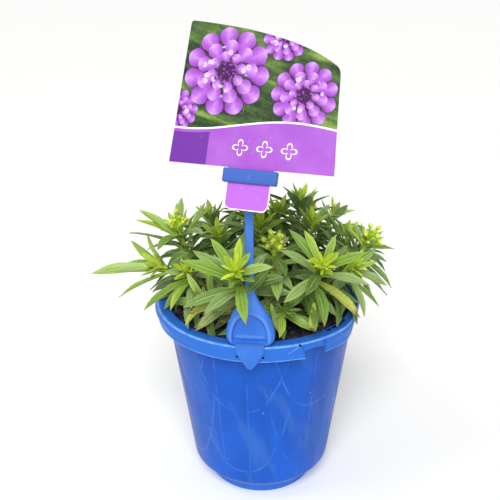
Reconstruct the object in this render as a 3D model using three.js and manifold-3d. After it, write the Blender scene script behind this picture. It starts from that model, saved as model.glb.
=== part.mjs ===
// Potted candytuft: a young plant in a blue nursery pot, with a picture label in a clip-on holder.
// Millimetres, +Z up. The pot's axis is Z, its foot stands on z = 0 and the label holder faces -Y.

import * as THREE from 'three';
import { mergeVertices } from 'three/addons/utils/BufferGeometryUtils.js';
import Module from 'manifold-3d';

const wasm = await Module();
wasm.setup();

// Driving dimensions

const gap = 0.3; // clearance between pieces that touch
const up = new THREE.Vector3(0, 0, 1);
const ringHint = new THREE.Vector3(0.8, 0.6, 0); // where the corners of a ring start
const degree = Math.PI / 180;
const turnOfLeaves = 137.5 * degree; // turn from one leaf to the next up the stem
const seed = 20251;

const pot = {
  height: 137,
  lipOuter: 70,
  lipInner: 62,
  skirtDrop: 10.7,
  skirtThick: 1.3,
  wallTop: 64.5, // outer radius just under the lip
  wallFoot: 49.4, // outer radius above the chamfer
  wallThick: 1.6,
  chamferTop: 17,
  footRadius: 38.5,
  footHeight: 5.6, // the chamfer steps in to a low foot
  floorThick: 2,
  sides: 28,
  drainHoles: 6,
  drainRadius: 4,
  drainCircle: 27,
};

const torn = { from: 29 * degree, to: 40.5 * degree, left: 5.8 }; // piece broken out of the skirt
const tagSlots = { count: 4, from: 44.5 * degree, to: 63 * degree, radius: 64.4, length: 4.6, width: 1.6 };

const mix = {
  level: 127,
  roughness: 1.2,
  sides: 18,
  chips: 9,
};

const holder = {
  front: -71, // front face of the teardrop grip
  gripThick: 6,
  recess: 2.2,
  stemWidth: 4.9,
  stemThick: 3.2,
  stemY: -66,
  stemTop: 240,
  legHalf: 5,
  legFoot: 120,
};

const label = {
  centre: new THREE.Vector3(1.1, -68.5, 242.3), // middle of the sleeve
  yaw: -14 * degree,
  lean: -25 * degree,
  sleeveWidth: 31,
  sleeveHeight: 7.6,
  sleeveDepth: 4.4,
  slotWidth: 27.6,
  slotThick: 1.3,
  cardThick: 0.6,
  tongueWidth: 26.4,
};

// Solids

function solidOf(geometry) {
  const bare = geometry.clone();
  bare.deleteAttribute('normal');
  bare.deleteAttribute('uv');
  const merged = mergeVertices(bare, 1e-4);
  const vertProperties = Float32Array.from(merged.attributes.position.array);
  const triVerts = Uint32Array.from(merged.index.array);
  return new wasm.Manifold(new wasm.Mesh({ numProp: 3, vertProperties, triVerts }));
}

function geometryOf(solid) {
  const mesh = solid.getMesh();
  const geometry = new THREE.BufferGeometry();
  geometry.setAttribute('position', new THREE.BufferAttribute(mesh.vertProperties, 3));
  geometry.setIndex(new THREE.BufferAttribute(mesh.triVerts, 1));
  geometry.computeVertexNormals();
  return geometry;
}

function joined(geometries) {
  return wasm.Manifold.union(geometries.map(solidOf));
}

function closestCorners(geometry) {
  const { array, count } = geometry.attributes.position;
  let least = Infinity;
  for (let i = 0; i < 3 * count; i += 3) {
    for (let j = i + 3; j < 3 * count; j += 3) {
      const step = Math.hypot(array[i] - array[j], array[i + 1] - array[j + 1], array[i + 2] - array[j + 2]);
      least = Math.min(least, step);
    }
  }
  return least;
}

// Joins the parts that make(foot) gives for a half width of the leaves' feet. Where corners nearly
// coincide, the feet are widened a little and the parts are joined again.
function fused(make) {
  let geometry = null;
  for (let widening = 0; widening < 12; widening += 1) {
    geometry = geometryOf(joined(make(grow.footHalf * (1 + 0.03 * widening))));
    if (closestCorners(geometry) > grow.leastEdge) {
      break;
    }
  }
  return geometry;
}

// A closed skin over rings of points that all have the same count and turn the same way round.
// A last ring of one point closes to a tip; an open end is capped by a fan.
function loft(rings) {
  const points = [];
  const triangles = [];
  const starts = rings.map((corners) => {
    points.push(...corners);
    return points.length - corners.length;
  });
  const count = rings[0].length;
  for (let r = 0; r < rings.length - 1; r += 1) {
    const a = starts[r];
    const b = starts[r + 1];
    for (let i = 0; i < count; i += 1) {
      const j = (i + 1) % count;
      if (rings[r + 1].length === 1) {
        triangles.push(a + i, a + j, b);
      } else {
        triangles.push(a + i, a + j, b + j, a + i, b + j, b + i);
      }
    }
  }
  for (let i = 1; i < count - 1; i += 1) {
    triangles.push(starts[0], starts[0] + i + 1, starts[0] + i);
  }
  const last = rings.length - 1;
  if (rings[last].length > 1) {
    for (let i = 1; i < count - 1; i += 1) {
      triangles.push(starts[last], starts[last] + i, starts[last] + i + 1);
    }
  }
  const geometry = new THREE.BufferGeometry().setFromPoints(points);
  geometry.setIndex(triangles);
  return geometry;
}

// A flat shape drawn in X and Z, with its back at y = back and its front nearer to -Y.
function plate(shape, back, thick, curveSegments = 6) {
  const geometry = new THREE.ExtrudeGeometry(shape, { depth: thick, bevelEnabled: false, curveSegments });
  geometry.rotateX(Math.PI / 2);
  geometry.translate(0, back, 0);
  return geometry;
}

function block(width, depth, height, x, y, z) {
  return new THREE.BoxGeometry(width, depth, height).translate(x, y, z);
}

function outline(points) {
  return new THREE.Shape(points.map(([x, y]) => new THREE.Vector2(x, y)));
}

// Repeatable draws between 0 and 1 for one leaf of one shoot

function draw(shoot, leaf, use) {
  let h = (seed + shoot * 7919 + leaf * 104729 + use * 1299709) >>> 0;
  h = Math.imul(h ^ (h >>> 15), 0x2c1b3c6d) >>> 0;
  h = Math.imul(h ^ (h >>> 12), 0x297a2d39) >>> 0;
  return ((h ^ (h >>> 15)) >>> 0) / 4294967296;
}

// Pot

function wallRadius(z) {
  const slope = (pot.wallTop - pot.wallFoot) / (pot.height - 5 - pot.chamferTop);
  return pot.wallFoot + slope * (z - pot.chamferTop);
}

function makePot() {
  const top = pot.height;
  const lip = top - 1.7; // underside of the lip
  const skirtIn = pot.lipOuter - pot.skirtThick;
  const inner = (z) => wallRadius(z) - pot.wallThick;
  const profile = [
    [0, 0],
    [pot.footRadius, 0],
    [pot.footRadius + 1.1, pot.footHeight],
    [pot.wallFoot - 0.7, pot.chamferTop - 1.5],
    [pot.wallFoot, pot.chamferTop],
    [wallRadius(lip), lip],
    [skirtIn, lip],
    [skirtIn, top - pot.skirtDrop],
    [pot.lipOuter + 0.1, top - pot.skirtDrop],
    [pot.lipOuter, top - 1.4],
    [pot.lipOuter - 1.4, top],
    [pot.lipInner + 0.9, top],
    [pot.lipInner, top - 0.9],
    [pot.lipInner, top - 2.4],
    [inner(top - 3.6), top - 3.6],
    [inner(pot.chamferTop + 0.4), pot.chamferTop + 0.4],
    [pot.footRadius - 0.5, pot.footHeight + 0.6],
    [pot.footRadius - 1.2, pot.floorThick],
    [0, pot.floorThick],
  ].map(([r, z]) => new THREE.Vector2(r, z));
  const cuts = [];
  for (let i = 0; i < pot.drainHoles; i += 1) {
    const turn = (i / pot.drainHoles) * 2 * Math.PI;
    const hole = new THREE.CylinderGeometry(pot.drainRadius, pot.drainRadius, 8, 8);
    hole.rotateX(Math.PI / 2);
    hole.translate(pot.drainCircle * Math.sin(turn), -pot.drainCircle * Math.cos(turn), 1);
    cuts.push(hole);
  }
  const middle = (torn.from + torn.to) / 2;
  const half = pot.lipOuter * Math.tan((torn.to - torn.from) / 2);
  const brokenEdge = outline([
    [-half, top - pot.skirtDrop - 1],
    [half, top - pot.skirtDrop - 1],
    [half, top - torn.left - 0.4],
    [half * 0.4, top - torn.left + 0.3],
    [-half * 0.5, top - torn.left - 0.2],
    [-half - 1.4, top - torn.left + 1.2],
  ]);
  cuts.push(plate(brokenEdge, 5 - pot.lipOuter + 0.4, 6).rotateZ(middle));
  for (let i = 0; i < tagSlots.count; i += 1) {
    const turn = tagSlots.from + ((i + 0.5) / tagSlots.count) * (tagSlots.to - tagSlots.from);
    cuts.push(block(tagSlots.length, tagSlots.width, 8, 0, -tagSlots.radius, top - 1).rotateZ(turn));
  }
  const shell = new THREE.LatheGeometry(profile, pot.sides).rotateX(Math.PI / 2);
  return geometryOf(solidOf(shell).subtract(joined(cuts)));
}

// Label holder, card and their common frame

const labelTurn = new THREE.Euler(label.lean, 0, label.yaw, 'ZYX');
const labelFrame = new THREE.Matrix4().makeRotationFromEuler(labelTurn).setPosition(label.centre);

function teardrop(inset) {
  const base = pot.height + gap + inset * 1.1;
  const shape = new THREE.Shape();
  shape.moveTo(-10 + inset * 0.4, base);
  shape.lineTo(10 - inset * 0.4, base);
  shape.quadraticCurveTo(16 - inset, base + 1, 15.4 - inset, 145);
  shape.quadraticCurveTo(14.6 - inset, 153, 9.4 - inset * 0.9, 160 - inset);
  if (inset === 0) {
    shape.quadraticCurveTo(4.4, 166, holder.stemWidth / 2, 174);
    shape.lineTo(-holder.stemWidth / 2, 174);
    shape.quadraticCurveTo(-4.4, 166, -9.4, 160);
  } else {
    shape.quadraticCurveTo(0, 168.5 - inset * 2, -9.4 + inset * 0.9, 160 - inset);
  }
  shape.quadraticCurveTo(-14.6 + inset, 153, -15.4 + inset, 145);
  shape.quadraticCurveTo(-16 + inset, base + 1, -10 + inset * 0.4, base);
  return shape;
}

function makeHolder() {
  const rest = pot.height + gap;
  const back = holder.front + holder.gripThick;
  const shield = outline([
    [-8.5, 139.6],
    [-8.3, 134.6],
    [-4.4, 126.6],
    [-1.2, 122.6],
    [1.2, 122.6],
    [4.6, 126.4],
    [8.4, 134.4],
    [8.6, 139.6],
  ]);
  const legTop = rest + 4;
  const stemHeight = holder.stemTop - 166;
  const parts = [
    plate(teardrop(0), back, holder.gripThick),
    plate(shield, holder.front + 0.5, 2.1),
    block(2 * holder.legHalf, 6.2, 4, 0, -62.6, rest + 2),
    block(2 * holder.legHalf, 1.2, legTop - holder.legFoot, 0, -59.7, (legTop + holder.legFoot) / 2),
    block(holder.stemWidth, holder.stemThick, stemHeight, 0, holder.stemY, 166 + stemHeight / 2),
  ];
  const sleeve = block(label.sleeveWidth, label.sleeveDepth, label.sleeveHeight, 0, 0, 0);
  parts.push(sleeve.applyMatrix4(labelFrame));
  const cuts = [
    plate(teardrop(2.6), holder.front + holder.recess, holder.recess + 1),
    block(label.slotWidth, label.slotThick, 30, 0, 0, 0).applyMatrix4(labelFrame),
  ];
  return geometryOf(joined(parts).subtract(joined(cuts)));
}

function makeCard() {
  const half = label.tongueWidth / 2;
  const foot = label.sleeveHeight / 2 + 0.6; // the card's lower edge stands on the sleeve
  const shape = new THREE.Shape();
  shape.moveTo(-half, foot);
  shape.lineTo(-half + 0.4, -14);
  shape.quadraticCurveTo(-half + 1.2, -18.4, -half + 4.4, -18.6);
  shape.lineTo(half - 3.4, -18.6);
  shape.quadraticCurveTo(half - 1.6, -18.4, half - 0.9, -14);
  shape.lineTo(half, foot);
  shape.lineTo(46, foot);
  shape.lineTo(42.4, 57.5);
  shape.quadraticCurveTo(42.3, 60.4, 40, 62.5);
  shape.quadraticCurveTo(14, 80.5, -45.5, 84.9);
  shape.quadraticCurveTo(-49.2, 84.8, -49.3, 81.5);
  shape.lineTo(-49.3, foot);
  shape.closePath();
  return plate(shape, label.cardThick / 2, label.cardThick, 8);
}

// Shoots. Places are of the growing point. The face says where the rosette looks: its turn from -Y
// towards +X, and its tilt from straight up. A bud head has buds in place of a young tip. Leaves set by
// hand come first, each as the way from the growing point to the leaf's tip; a rule adds the others.

const shoots = [
  {
    name: 'front', head: [-7, -73, 186.8], turn: 0, tilt: 46, leaves: 14,
    set: [[2, 5, 20], [21, -9, 19], [-15, 5, 19], [-2, -14, -3], [8, -13, 5], [-27, 12, 8],
      [-32, -3, 8], [27, -18, -8], [-29, -12, -17], [4, -21, -20], [-23, -8, -30]],
  },
  {
    name: 'right_front', head: [42, -47, 180.5], turn: 10, tilt: 48, leaves: 14,
    set: [[7, 3, 20], [-12, 10, 20], [-21, 10, 20], [26, -3, 12], [-25, -9, 14], [28, -10, -6],
      [-22, -21, -14], [23, -13, -26], [2, -29, -24], [15, 17, 8], [-15, -15, -24], [-3, -19, -33]],
  },
  {
    name: 'middle_bud', head: [11.5, -31, 182], turn: 0, tilt: 14, leaves: 13, buds: 8,
    set: [[-8, 9, 8], [9, 11, 7], [6, -17, -7], [-8, -12, 2], [16, 1, -6], [-14, -41, -9], [13, -23, -14]],
  },
  {
    name: 'left_low', head: [-63, -17, 163.5], turn: -66, tilt: 66, leaves: 13,
    set: [[-27, 9, 13], [-13, 13, 19], [-50, -5, -11], [-28, -13, -17], [-35, -12, -8], [-29, 17, -5],
      [-4, -23, -6]],
  },
  {
    name: 'left_bud', head: [-54, 0, 182], turn: -50, tilt: 12, leaves: 14, buds: 5,
    set: [[-14, 14, 16], [-5, 16, 15], [23, 10, 16], [-30, 0, 8], [-29, 8, 12], [14, 22, 14], [24, -16, 8],
      [-35, -8, 2], [-5, -26, -4], [11, -26, -8]],
  },
  {
    name: 'right_bud', head: [70, 5, 174], turn: 70, tilt: 26, leaves: 14, buds: 7,
    set: [[-15, 5, 11], [-8, 20, 9], [12, -13, 0], [12, 15, 1], [6, -19, -3], [-18, -19, 4], [10, -21, -8]],
  },
  { name: 'right_mid', head: [34, 22, 180], turn: 60, tilt: 10, leaves: 12 },
  {
    name: 'right_back', head: [25, 47, 187], turn: 150, tilt: 16, leaves: 14,
    set: [[-13, 3, 13], [-2, 13, 9], [21, 3, 7], [25, -7, 2], [12, 19, 5], [-19, 3, 3], [29, -11, -3]],
  },
  { name: 'back_mid', head: [10, 30, 184], turn: 0, tilt: 6, leaves: 11 },
  { name: 'centre', head: [-1, 7, 183], turn: 20, tilt: 14, leaves: 11 },
  { name: 'left_mid', head: [-28, 2, 177], turn: -20, tilt: 20, leaves: 11 },
  {
    name: 'left_front', head: [-44, -24, 163], turn: -20, tilt: 40, leaves: 12,
    set: [[-18, 4, -2], [13, -16, 12], [-30, -24, -12], [-7, -30, -12], [12, -28, -6]],
  },
  { name: 'right_edge', head: [60, -17, 167], turn: 50, tilt: 45, leaves: 12 },
  { name: 'right_side', head: [57, 24, 170], turn: 90, tilt: 30, leaves: 11 },
  { name: 'left_back', head: [-37, 32, 179], turn: -110, tilt: 14, leaves: 12 },
  { name: 'back_left', head: [-12, 52, 180], turn: 180, tilt: 20, leaves: 11 },
  { name: 'back_right', head: [48, 52, 175], turn: 140, tilt: 28, leaves: 11 },
  { name: 'left_side', head: [-63, 28, 168], turn: -100, tilt: 34, leaves: 11 },
  { name: 'back_low', head: [2, 74, 164], turn: 180, tilt: 52, leaves: 11 },
  { name: 'back_left_low', head: [-40, 62, 162], turn: -140, tilt: 48, leaves: 11 },
  { name: 'back_bud', head: [28, 72, 169], turn: 160, tilt: 30, leaves: 11, buds: 6 },
  { name: 'right_back_low', head: [70, 38, 161], turn: 115, tilt: 50, leaves: 11 },
  { name: 'front_left_low', head: [-31, -44, 152], turn: -30, tilt: 56, leaves: 10 },
  { name: 'front_right_low', head: [18, -48, 151], turn: 30, tilt: 52, leaves: 9 },
];

const grow = {
  baseShare: 0.42, // how far out of the middle a stem stands in the mix, as a share of its head
  stemFoot: 1.9,
  stemTip: 1.3,
  stemSides: 4,
  stemSteps: 5,
  depth: 8, // stem below the surface
  tipHeight: 6.5, // of the growing point of a young tip
  budCore: 9, // of the middle stalk of a bud head
  tipLeaves: 4,
  firstLeaf: 1.8, // from the growing point down to the first leaf
  leafSpacing: 2.7,
  longest: 42,
  widest: 3.7, // half width of the longest leaf
  keel: 0.9, // thickness at the midrib
  bladeStart: 0.1, // share of a leaf's length that lies at the stem
  footHalf: 0.44,
  leastEdge: 0.006,
};

function vector(point) {
  return new THREE.Vector3(...point);
}

function facing(turn, tilt) {
  const t = turn * degree;
  const k = tilt * degree;
  return new THREE.Vector3(Math.sin(k) * Math.sin(t), -Math.sin(k) * Math.cos(t), Math.cos(k));
}

// A stem stands straight in its hole in the mix, and bends from there to its head along a cubic curve.
function stemOf(shoot) {
  const head = vector(shoot.head);
  const axis = facing(shoot.turn, shoot.tilt);
  const ground = new THREE.Vector3(head.x * grow.baseShare, head.y * grow.baseShare, mix.level);
  const rise = head.clone().sub(ground);
  const start = new THREE.Vector3(rise.x * 0.35, rise.y * 0.35, rise.z).normalize();
  const foot = ground.clone().addScaledVector(start, -grow.depth);
  const span = rise.length();
  const curve = new THREE.CubicBezierCurve3(
    ground,
    ground.clone().addScaledVector(start, span * 0.36),
    head.clone().addScaledVector(axis, -span * 0.4),
    head,
  );
  const hint = new THREE.Vector3(-rise.y, rise.x, 0).normalize(); // keeps the facets from twisting
  return { head, axis, foot, start, curve, hint, length: curve.getLength() };
}

function across(axis, hint) {
  return hint.clone().addScaledVector(axis, -hint.dot(axis)).normalize();
}

function ring(centre, axis, radius, sides, hint = ringHint) {
  const u = across(axis, hint);
  const v = axis.clone().cross(u);
  const points = [];
  for (let i = 0; i < sides; i += 1) {
    const a = (i / sides) * 2 * Math.PI;
    const out = u.clone().multiplyScalar(Math.cos(a)).addScaledVector(v, Math.sin(a));
    points.push(centre.clone().addScaledVector(out, radius));
  }
  return points;
}

// A point on the middle line of the stem's facets, so that a leaf's foot lies inside them.
function stemPoint(stem, t) {
  const step = Math.min(Math.floor(t * grow.stemSteps), grow.stemSteps - 1);
  const low = stem.curve.getPoint(step / grow.stemSteps);
  return low.lerp(stem.curve.getPoint((step + 1) / grow.stemSteps), t * grow.stemSteps - step);
}

function stemRadius(t) {
  return grow.stemFoot + (grow.stemTip - grow.stemFoot) * t;
}

function stemGeometry(stem) {
  const rings = [ring(stem.foot, stem.start, grow.stemFoot, grow.stemSides, stem.hint)];
  for (let i = 0; i <= grow.stemSteps; i += 1) {
    const t = i / grow.stemSteps;
    const along = stem.curve.getTangent(t);
    rings.push(ring(stem.curve.getPoint(t), along, stemRadius(t), grow.stemSides, stem.hint));
  }
  return loft(rings);
}

// One leaf: its midrib is a quadratic curve from just under the stem's skin to the end of its chord,
// arched away from the chord. The blade looks towards the stem's tip.
function leafOf(middle, radius, axis, chord, arch) {
  const point = middle.clone().addScaledVector(across(axis, chord), radius * 0.3);
  const tip = middle.clone().add(chord);
  const size = chord.length();
  const knee = point.clone().lerp(tip, 0.46);
  knee.addScaledVector(across(chord.clone().normalize(), axis), arch * size);
  return { point, knee, tip, axis, size, half: 1.2 + (grow.widest - 1.2) * (size / grow.longest) };
}

function chordAt(axis, angle, rise, size, droop) {
  const u = across(axis, up);
  const right = u.clone().cross(axis);
  const out = u.multiplyScalar(Math.cos(angle)).addScaledVector(right, Math.sin(angle));
  const chord = axis.clone().multiplyScalar(size * Math.cos(rise));
  chord.addScaledVector(out, size * Math.sin(rise));
  chord.z -= droop * size;
  return chord;
}

function midrib(leaf, s) {
  const a = (1 - s) * (1 - s);
  const b = 2 * s * (1 - s);
  const at = leaf.point.clone().multiplyScalar(a);
  at.addScaledVector(leaf.knee, b).addScaledVector(leaf.tip, s * s);
  const along = leaf.knee.clone().sub(leaf.point).multiplyScalar(1 - s);
  along.addScaledVector(leaf.tip.clone().sub(leaf.knee), s).normalize();
  const side = along.clone().cross(leaf.axis).normalize();
  return { at, along, side, normal: side.clone().cross(along) };
}

// Half width along the blade as a share of the greatest: slender foot, tooth, notch and pointed tip.
const toothed = [[0, 0.1], [0.36, 0.7], [0.69, 1], [0.76, 0.78]];
const plain = [[0, 0.1], [0.38, 0.76], [0.72, 0.98]];
const young = [[0, 0.1], [0.5, 1]];

function bladeGeometry(leaf, stations, foot) {
  const rings = stations.map(([s, share]) => {
    const rib = midrib(leaf, s);
    const half = Math.max(leaf.half * share, foot);
    const lift = half * 0.22; // the edges stand above the midrib
    return [
      rib.at.clone().addScaledVector(rib.side, -half).addScaledVector(rib.normal, lift),
      rib.at.clone().addScaledVector(rib.side, half).addScaledVector(rib.normal, lift),
      rib.at.clone().addScaledVector(rib.normal, -grow.keel * 0.75),
    ];
  });
  rings.push([leaf.tip.clone()]);
  return loft(rings);
}

// Clearance between leaves of different stems: each leaf is a row of flat pads, and two pads are apart
// when a plane between them clears both.

const padSteps = 8;
const padThick = 1.05;
const placed = [];

function padsOf(leaf, owner) {
  const pads = [];
  for (let i = 0; i < padSteps; i += 1) {
    const s = grow.bladeStart + ((1 - grow.bladeStart) * (i + 0.5)) / padSteps;
    const rib = midrib(leaf, s);
    const share = s < 0.68 ? 0.45 + 0.8 * s : 1 - (s - 0.68) * 2.4;
    pads.push({
      owner,
      at: rib.at,
      a: rib.along.multiplyScalar((leaf.size * (1 - grow.bladeStart) * 0.8) / padSteps),
      b: rib.side.multiplyScalar(leaf.half * share * 0.95 + 0.2),
      c: rib.normal.multiplyScalar(padThick),
    });
  }
  return pads;
}

function reach(pad, direction) {
  return Math.hypot(pad.a.dot(direction), pad.b.dot(direction), pad.c.dot(direction));
}

function padsMeet(p, q) {
  const between = q.at.clone().sub(p.at);
  const distance = between.length();
  if (distance > 9) {
    return false;
  }
  between.divideScalar(distance + 1e-9);
  return distance < reach(p, between) + reach(q, between);
}

// True where a point of a leaf would touch the pot, the mix, the holder or the card.
function blocked(p, margin) {
  const r = Math.hypot(p.x, p.y);
  if (r < pot.lipInner && p.z < mix.level + 1.4 + margin) {
    return true;
  }
  if (r > pot.lipInner - margin && r < pot.lipOuter + margin && p.z < pot.height + margin) {
    return true;
  }
  if (r < wallRadius(p.z) + margin && p.z < pot.height && p.z > 0 && r > pot.lipInner) {
    return true;
  }
  if (p.y < -58.5 + margin && p.y > holder.front - 2.2 - margin) {
    const width = p.z < 153 ? 16 : p.z < 163 ? 11.5 : p.z < 173 ? 6 : holder.stemWidth / 2;
    const back = p.z < 143 ? -58.5 : p.z < 173 ? -64.6 : -64;
    const front = p.z < 173 ? holder.front - 2.2 : -68;
    if (Math.abs(p.x) < width + margin && p.y < back + margin && p.y > front - margin && p.z < 240) {
      return true;
    }
  }
  if (p.z > 215) {
    const local = p.clone().sub(label.centre).applyEuler(new THREE.Euler(0, 0, -label.yaw));
    local.applyEuler(new THREE.Euler(-label.lean, 0, 0));
    return Math.abs(local.y) < 3 + margin;
  }
  return false;
}

function clear(leaf, owner) {
  for (const pad of padsOf(leaf, owner)) {
    const left = pad.at.clone().add(pad.b);
    const right = pad.at.clone().sub(pad.b);
    if (blocked(pad.at, 0.9) || blocked(left, 0.6) || blocked(right, 0.6)) {
      return false;
    }
    if (placed.some((other) => other.owner !== owner && padsMeet(pad, other))) {
      return false;
    }
  }
  return !blocked(leaf.tip, 0.6);
}

// Where a leaf would touch another stem's leaf it is turned, then raised or lowered, then shortened.
const turns = [0, 13, -13, 26, -26, 40, -40, 55, -55];
const bends = [0, 12, -12, 24, -22];
const shortenings = [1, 0.8];

function seat(owner, middle, radius, axis, chord, arch) {
  const side = axis.clone().cross(chord).normalize();
  for (const shortening of shortenings) {
    for (const bend of bends) {
      for (const turn of turns) {
        const turned = chord.clone().multiplyScalar(shortening);
        turned.applyAxisAngle(side, bend * degree).applyAxisAngle(axis, turn * degree);
        const leaf = leafOf(middle, radius, axis, turned, arch);
        if (clear(leaf, owner)) {
          placed.push(...padsOf(leaf, owner));
          return leaf;
        }
      }
    }
  }
  return null;
}

function stemPads(stem, owner) {
  const steps = Math.ceil(stem.length / 3);
  for (let i = 0; i <= steps; i += 1) {
    const t = i / steps;
    const along = stem.curve.getTangent(t);
    const side = across(along, stem.hint);
    placed.push({
      owner,
      at: stem.curve.getPoint(t),
      a: along.clone().multiplyScalar(2),
      b: side.clone().multiplyScalar(grow.stemFoot + 0.3),
      c: along.clone().cross(side).multiplyScalar(grow.stemFoot + 0.3),
    });
  }
}

function greenLeaves(shoot, stem, number) {
  const leaves = [];
  const set = shoot.set ?? [];
  for (let i = 0; i < shoot.leaves; i += 1) {
    const down = grow.firstLeaf + grow.leafSpacing * i * (0.6 + 0.045 * i);
    const t = Math.max(1 - down / stem.length, 0.3);
    const middle = stemPoint(stem, t);
    const axis = stem.curve.getTangent(t);
    const share = Math.min(i / 8, 1);
    const angle = i * turnOfLeaves + (draw(number, i, 1) - 0.5) * 0.5 + number;
    const rise = (44 + 48 * share + 14 * (draw(number, i, 2) - 0.5)) * degree;
    const size = 23 + 15 * share + 9 * (draw(number, i, 3) - 0.5);
    const chord = i < set.length
      ? vector(set[i]).add(stem.head).sub(middle)
      : chordAt(axis, angle, rise, size, 0.05 + 0.35 * share * draw(number, i, 4));
    const leaf = seat(shoot.name, middle, stemRadius(t), axis, chord, 0.1 + 0.1 * draw(number, i, 12));
    if (leaf) {
      leaves.push(leaf);
    }
  }
  return leaves;
}

function tipLeaves(shoot, stem, number) {
  const leaves = [];
  for (let i = 0; i < grow.tipLeaves; i += 1) {
    const share = i / (grow.tipLeaves - 1);
    const middle = stem.head.clone().addScaledVector(stem.axis, gap + 1.2 + 3.2 * share);
    const angle = i * turnOfLeaves + draw(number, i, 5) + number * 2;
    const rise = (44 - 22 * share + 10 * draw(number, i, 6)) * degree;
    const chord = chordAt(stem.axis, angle, rise, 13.5 - 3 * share + 3 * draw(number, i, 7), 0);
    const leaf = seat(`${shoot.name}_tip`, middle, 1, stem.axis, chord, -0.12);
    if (leaf) {
      leaves.push(leaf);
    }
  }
  return leaves;
}

function core(stem, height, radius) {
  const at = (rise) => stem.head.clone().addScaledVector(stem.axis, gap + rise);
  return loft([
    ring(at(0), stem.axis, radius, grow.stemSides),
    ring(at(height * 0.7), stem.axis, radius, grow.stemSides),
    [at(height)],
  ]);
}

// A bud on its stalk: a slim stalk that swells into an egg-shaped bud.
function budGeometry(from, direction, length, radius, foot) {
  const at = (share) => from.clone().addScaledVector(direction, length * share);
  return loft([
    ring(at(0), direction, foot, 4),
    ring(at(0.56), direction, 0.55, 4),
    ring(at(0.8), direction, radius, 4),
    [at(1.06)],
  ]);
}

function budParts(shoot, stem, number, foot) {
  const parts = [];
  for (let i = 0; i < shoot.buds; i += 1) {
    const share = shoot.buds > 1 ? i / (shoot.buds - 1) : 0;
    const from = stem.head.clone().addScaledVector(stem.axis, gap + 3.2 + 5 * (1 - share));
    const angle = i * turnOfLeaves + number;
    const rise = (8 + 52 * Math.sqrt(share)) * degree;
    const u = across(stem.axis, new THREE.Vector3(0, 1, 0.2));
    const v = stem.axis.clone().cross(u);
    const out = u.multiplyScalar(Math.cos(angle)).addScaledVector(v, Math.sin(angle));
    const direction = stem.axis.clone().multiplyScalar(Math.cos(rise)).addScaledVector(out, Math.sin(rise));
    from.addScaledVector(out, 0.35);
    parts.push(budGeometry(from, direction, 8.6 - share + draw(number, i, 8), 1.75, foot));
  }
  return parts;
}

// Potting mix

function makeMix(stems) {
  const inner = (z) => wallRadius(z) - pot.wallThick - gap - 0.1;
  const rim = mix.level - 1.4;
  const levels = [
    [pot.footRadius - 1.7, pot.floorThick + gap],
    [pot.footRadius - 1, pot.footHeight + 1.1],
    [inner(pot.chamferTop + 1.5), pot.chamferTop + 1.5],
    [inner(rim), rim],
    [inner(rim) - 3, mix.level - 0.2],
    [inner(rim) * 0.68, mix.level],
    [inner(rim) * 0.34, mix.level + 0.4],
  ];
  const rings = levels.map(([radius, z], band) => {
    const points = [];
    for (let i = 0; i < mix.sides; i += 1) {
      const a = (i / mix.sides) * 2 * Math.PI;
      const rough = band > 3 ? mix.roughness * (draw(band, i, 9) - 0.5) * 2 : 0;
      points.push(new THREE.Vector3(radius * Math.cos(a), radius * Math.sin(a), z + rough));
    }
    return points;
  });
  rings.push([new THREE.Vector3(0, 0, mix.level + 0.6)]);
  const parts = [loft(rings)];
  for (let i = 0; i < mix.chips; i += 1) {
    const r = 57 * Math.sqrt(0.12 + 0.85 * draw(i, 1, 10));
    const a = i * turnOfLeaves;
    const chip = block(5 + 5 * draw(i, 2, 10), 3.4, 2.6, 0, 0, 0);
    chip.rotateX(0.5 * draw(i, 3, 10)).rotateY(0.5 * draw(i, 4, 10) - 0.25).rotateZ(6 * draw(i, 5, 10));
    parts.push(chip.translate(r * Math.cos(a), r * Math.sin(a), mix.level + 0.6));
  }
  const cuts = stems.map(({ foot, start }) => {
    const hole = new THREE.CylinderGeometry(grow.stemFoot + 0.8, grow.stemFoot + 0.8, grow.depth + 5, 6);
    hole.translate(0, (grow.depth + 5) / 2 - gap, 0);
    hole.applyQuaternion(new THREE.Quaternion().setFromUnitVectors(new THREE.Vector3(0, 1, 0), start));
    return hole.translate(foot.x, foot.y, foot.z);
  });
  const legDepth = mix.level - holder.legFoot + 4;
  cuts.push(block(2 * holder.legHalf + 1, 4, legDepth, 0, -60.6, holder.legFoot - 0.4 + legDepth / 2));
  return geometryOf(joined(parts).subtract(joined(cuts)));
}

// Assembly

const paint = {
  blue: new THREE.MeshStandardMaterial({ color: '#2b6fdb', roughness: 0.38, metalness: 0 }),
  holder: new THREE.MeshStandardMaterial({ color: '#3a78dc', roughness: 0.5, metalness: 0 }),
  card: new THREE.MeshStandardMaterial({ color: '#c98be6', roughness: 0.45, metalness: 0 }),
  mix: new THREE.MeshStandardMaterial({ color: '#231d1c', roughness: 0.95, metalness: 0 }),
  leaf: new THREE.MeshStandardMaterial({ color: '#5d8636', roughness: 0.55, metalness: 0 }),
  lime: new THREE.MeshStandardMaterial({ color: '#a5c73a', roughness: 0.5, metalness: 0 }),
  bud: new THREE.MeshStandardMaterial({ color: '#b9cf5a', roughness: 0.5, metalness: 0 }),
};

const candytuft = new THREE.Group();

function add(name, geometry, material, parent = candytuft) {
  const mesh = new THREE.Mesh(geometry, material);
  mesh.name = name;
  parent.add(mesh);
  return mesh;
}

const stems = shoots.map(stemOf);
stems.forEach((stem, i) => stemPads(stem, shoots[i].name));
add('pot', makePot(), paint.blue);
add('label_holder', makeHolder(), paint.holder);
const labelGroup = new THREE.Group();
labelGroup.position.copy(label.centre);
labelGroup.rotation.copy(labelTurn);
candytuft.add(labelGroup);
add('label_card', makeCard(), paint.card, labelGroup);
add('potting_mix', makeMix(stems), paint.mix);

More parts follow.
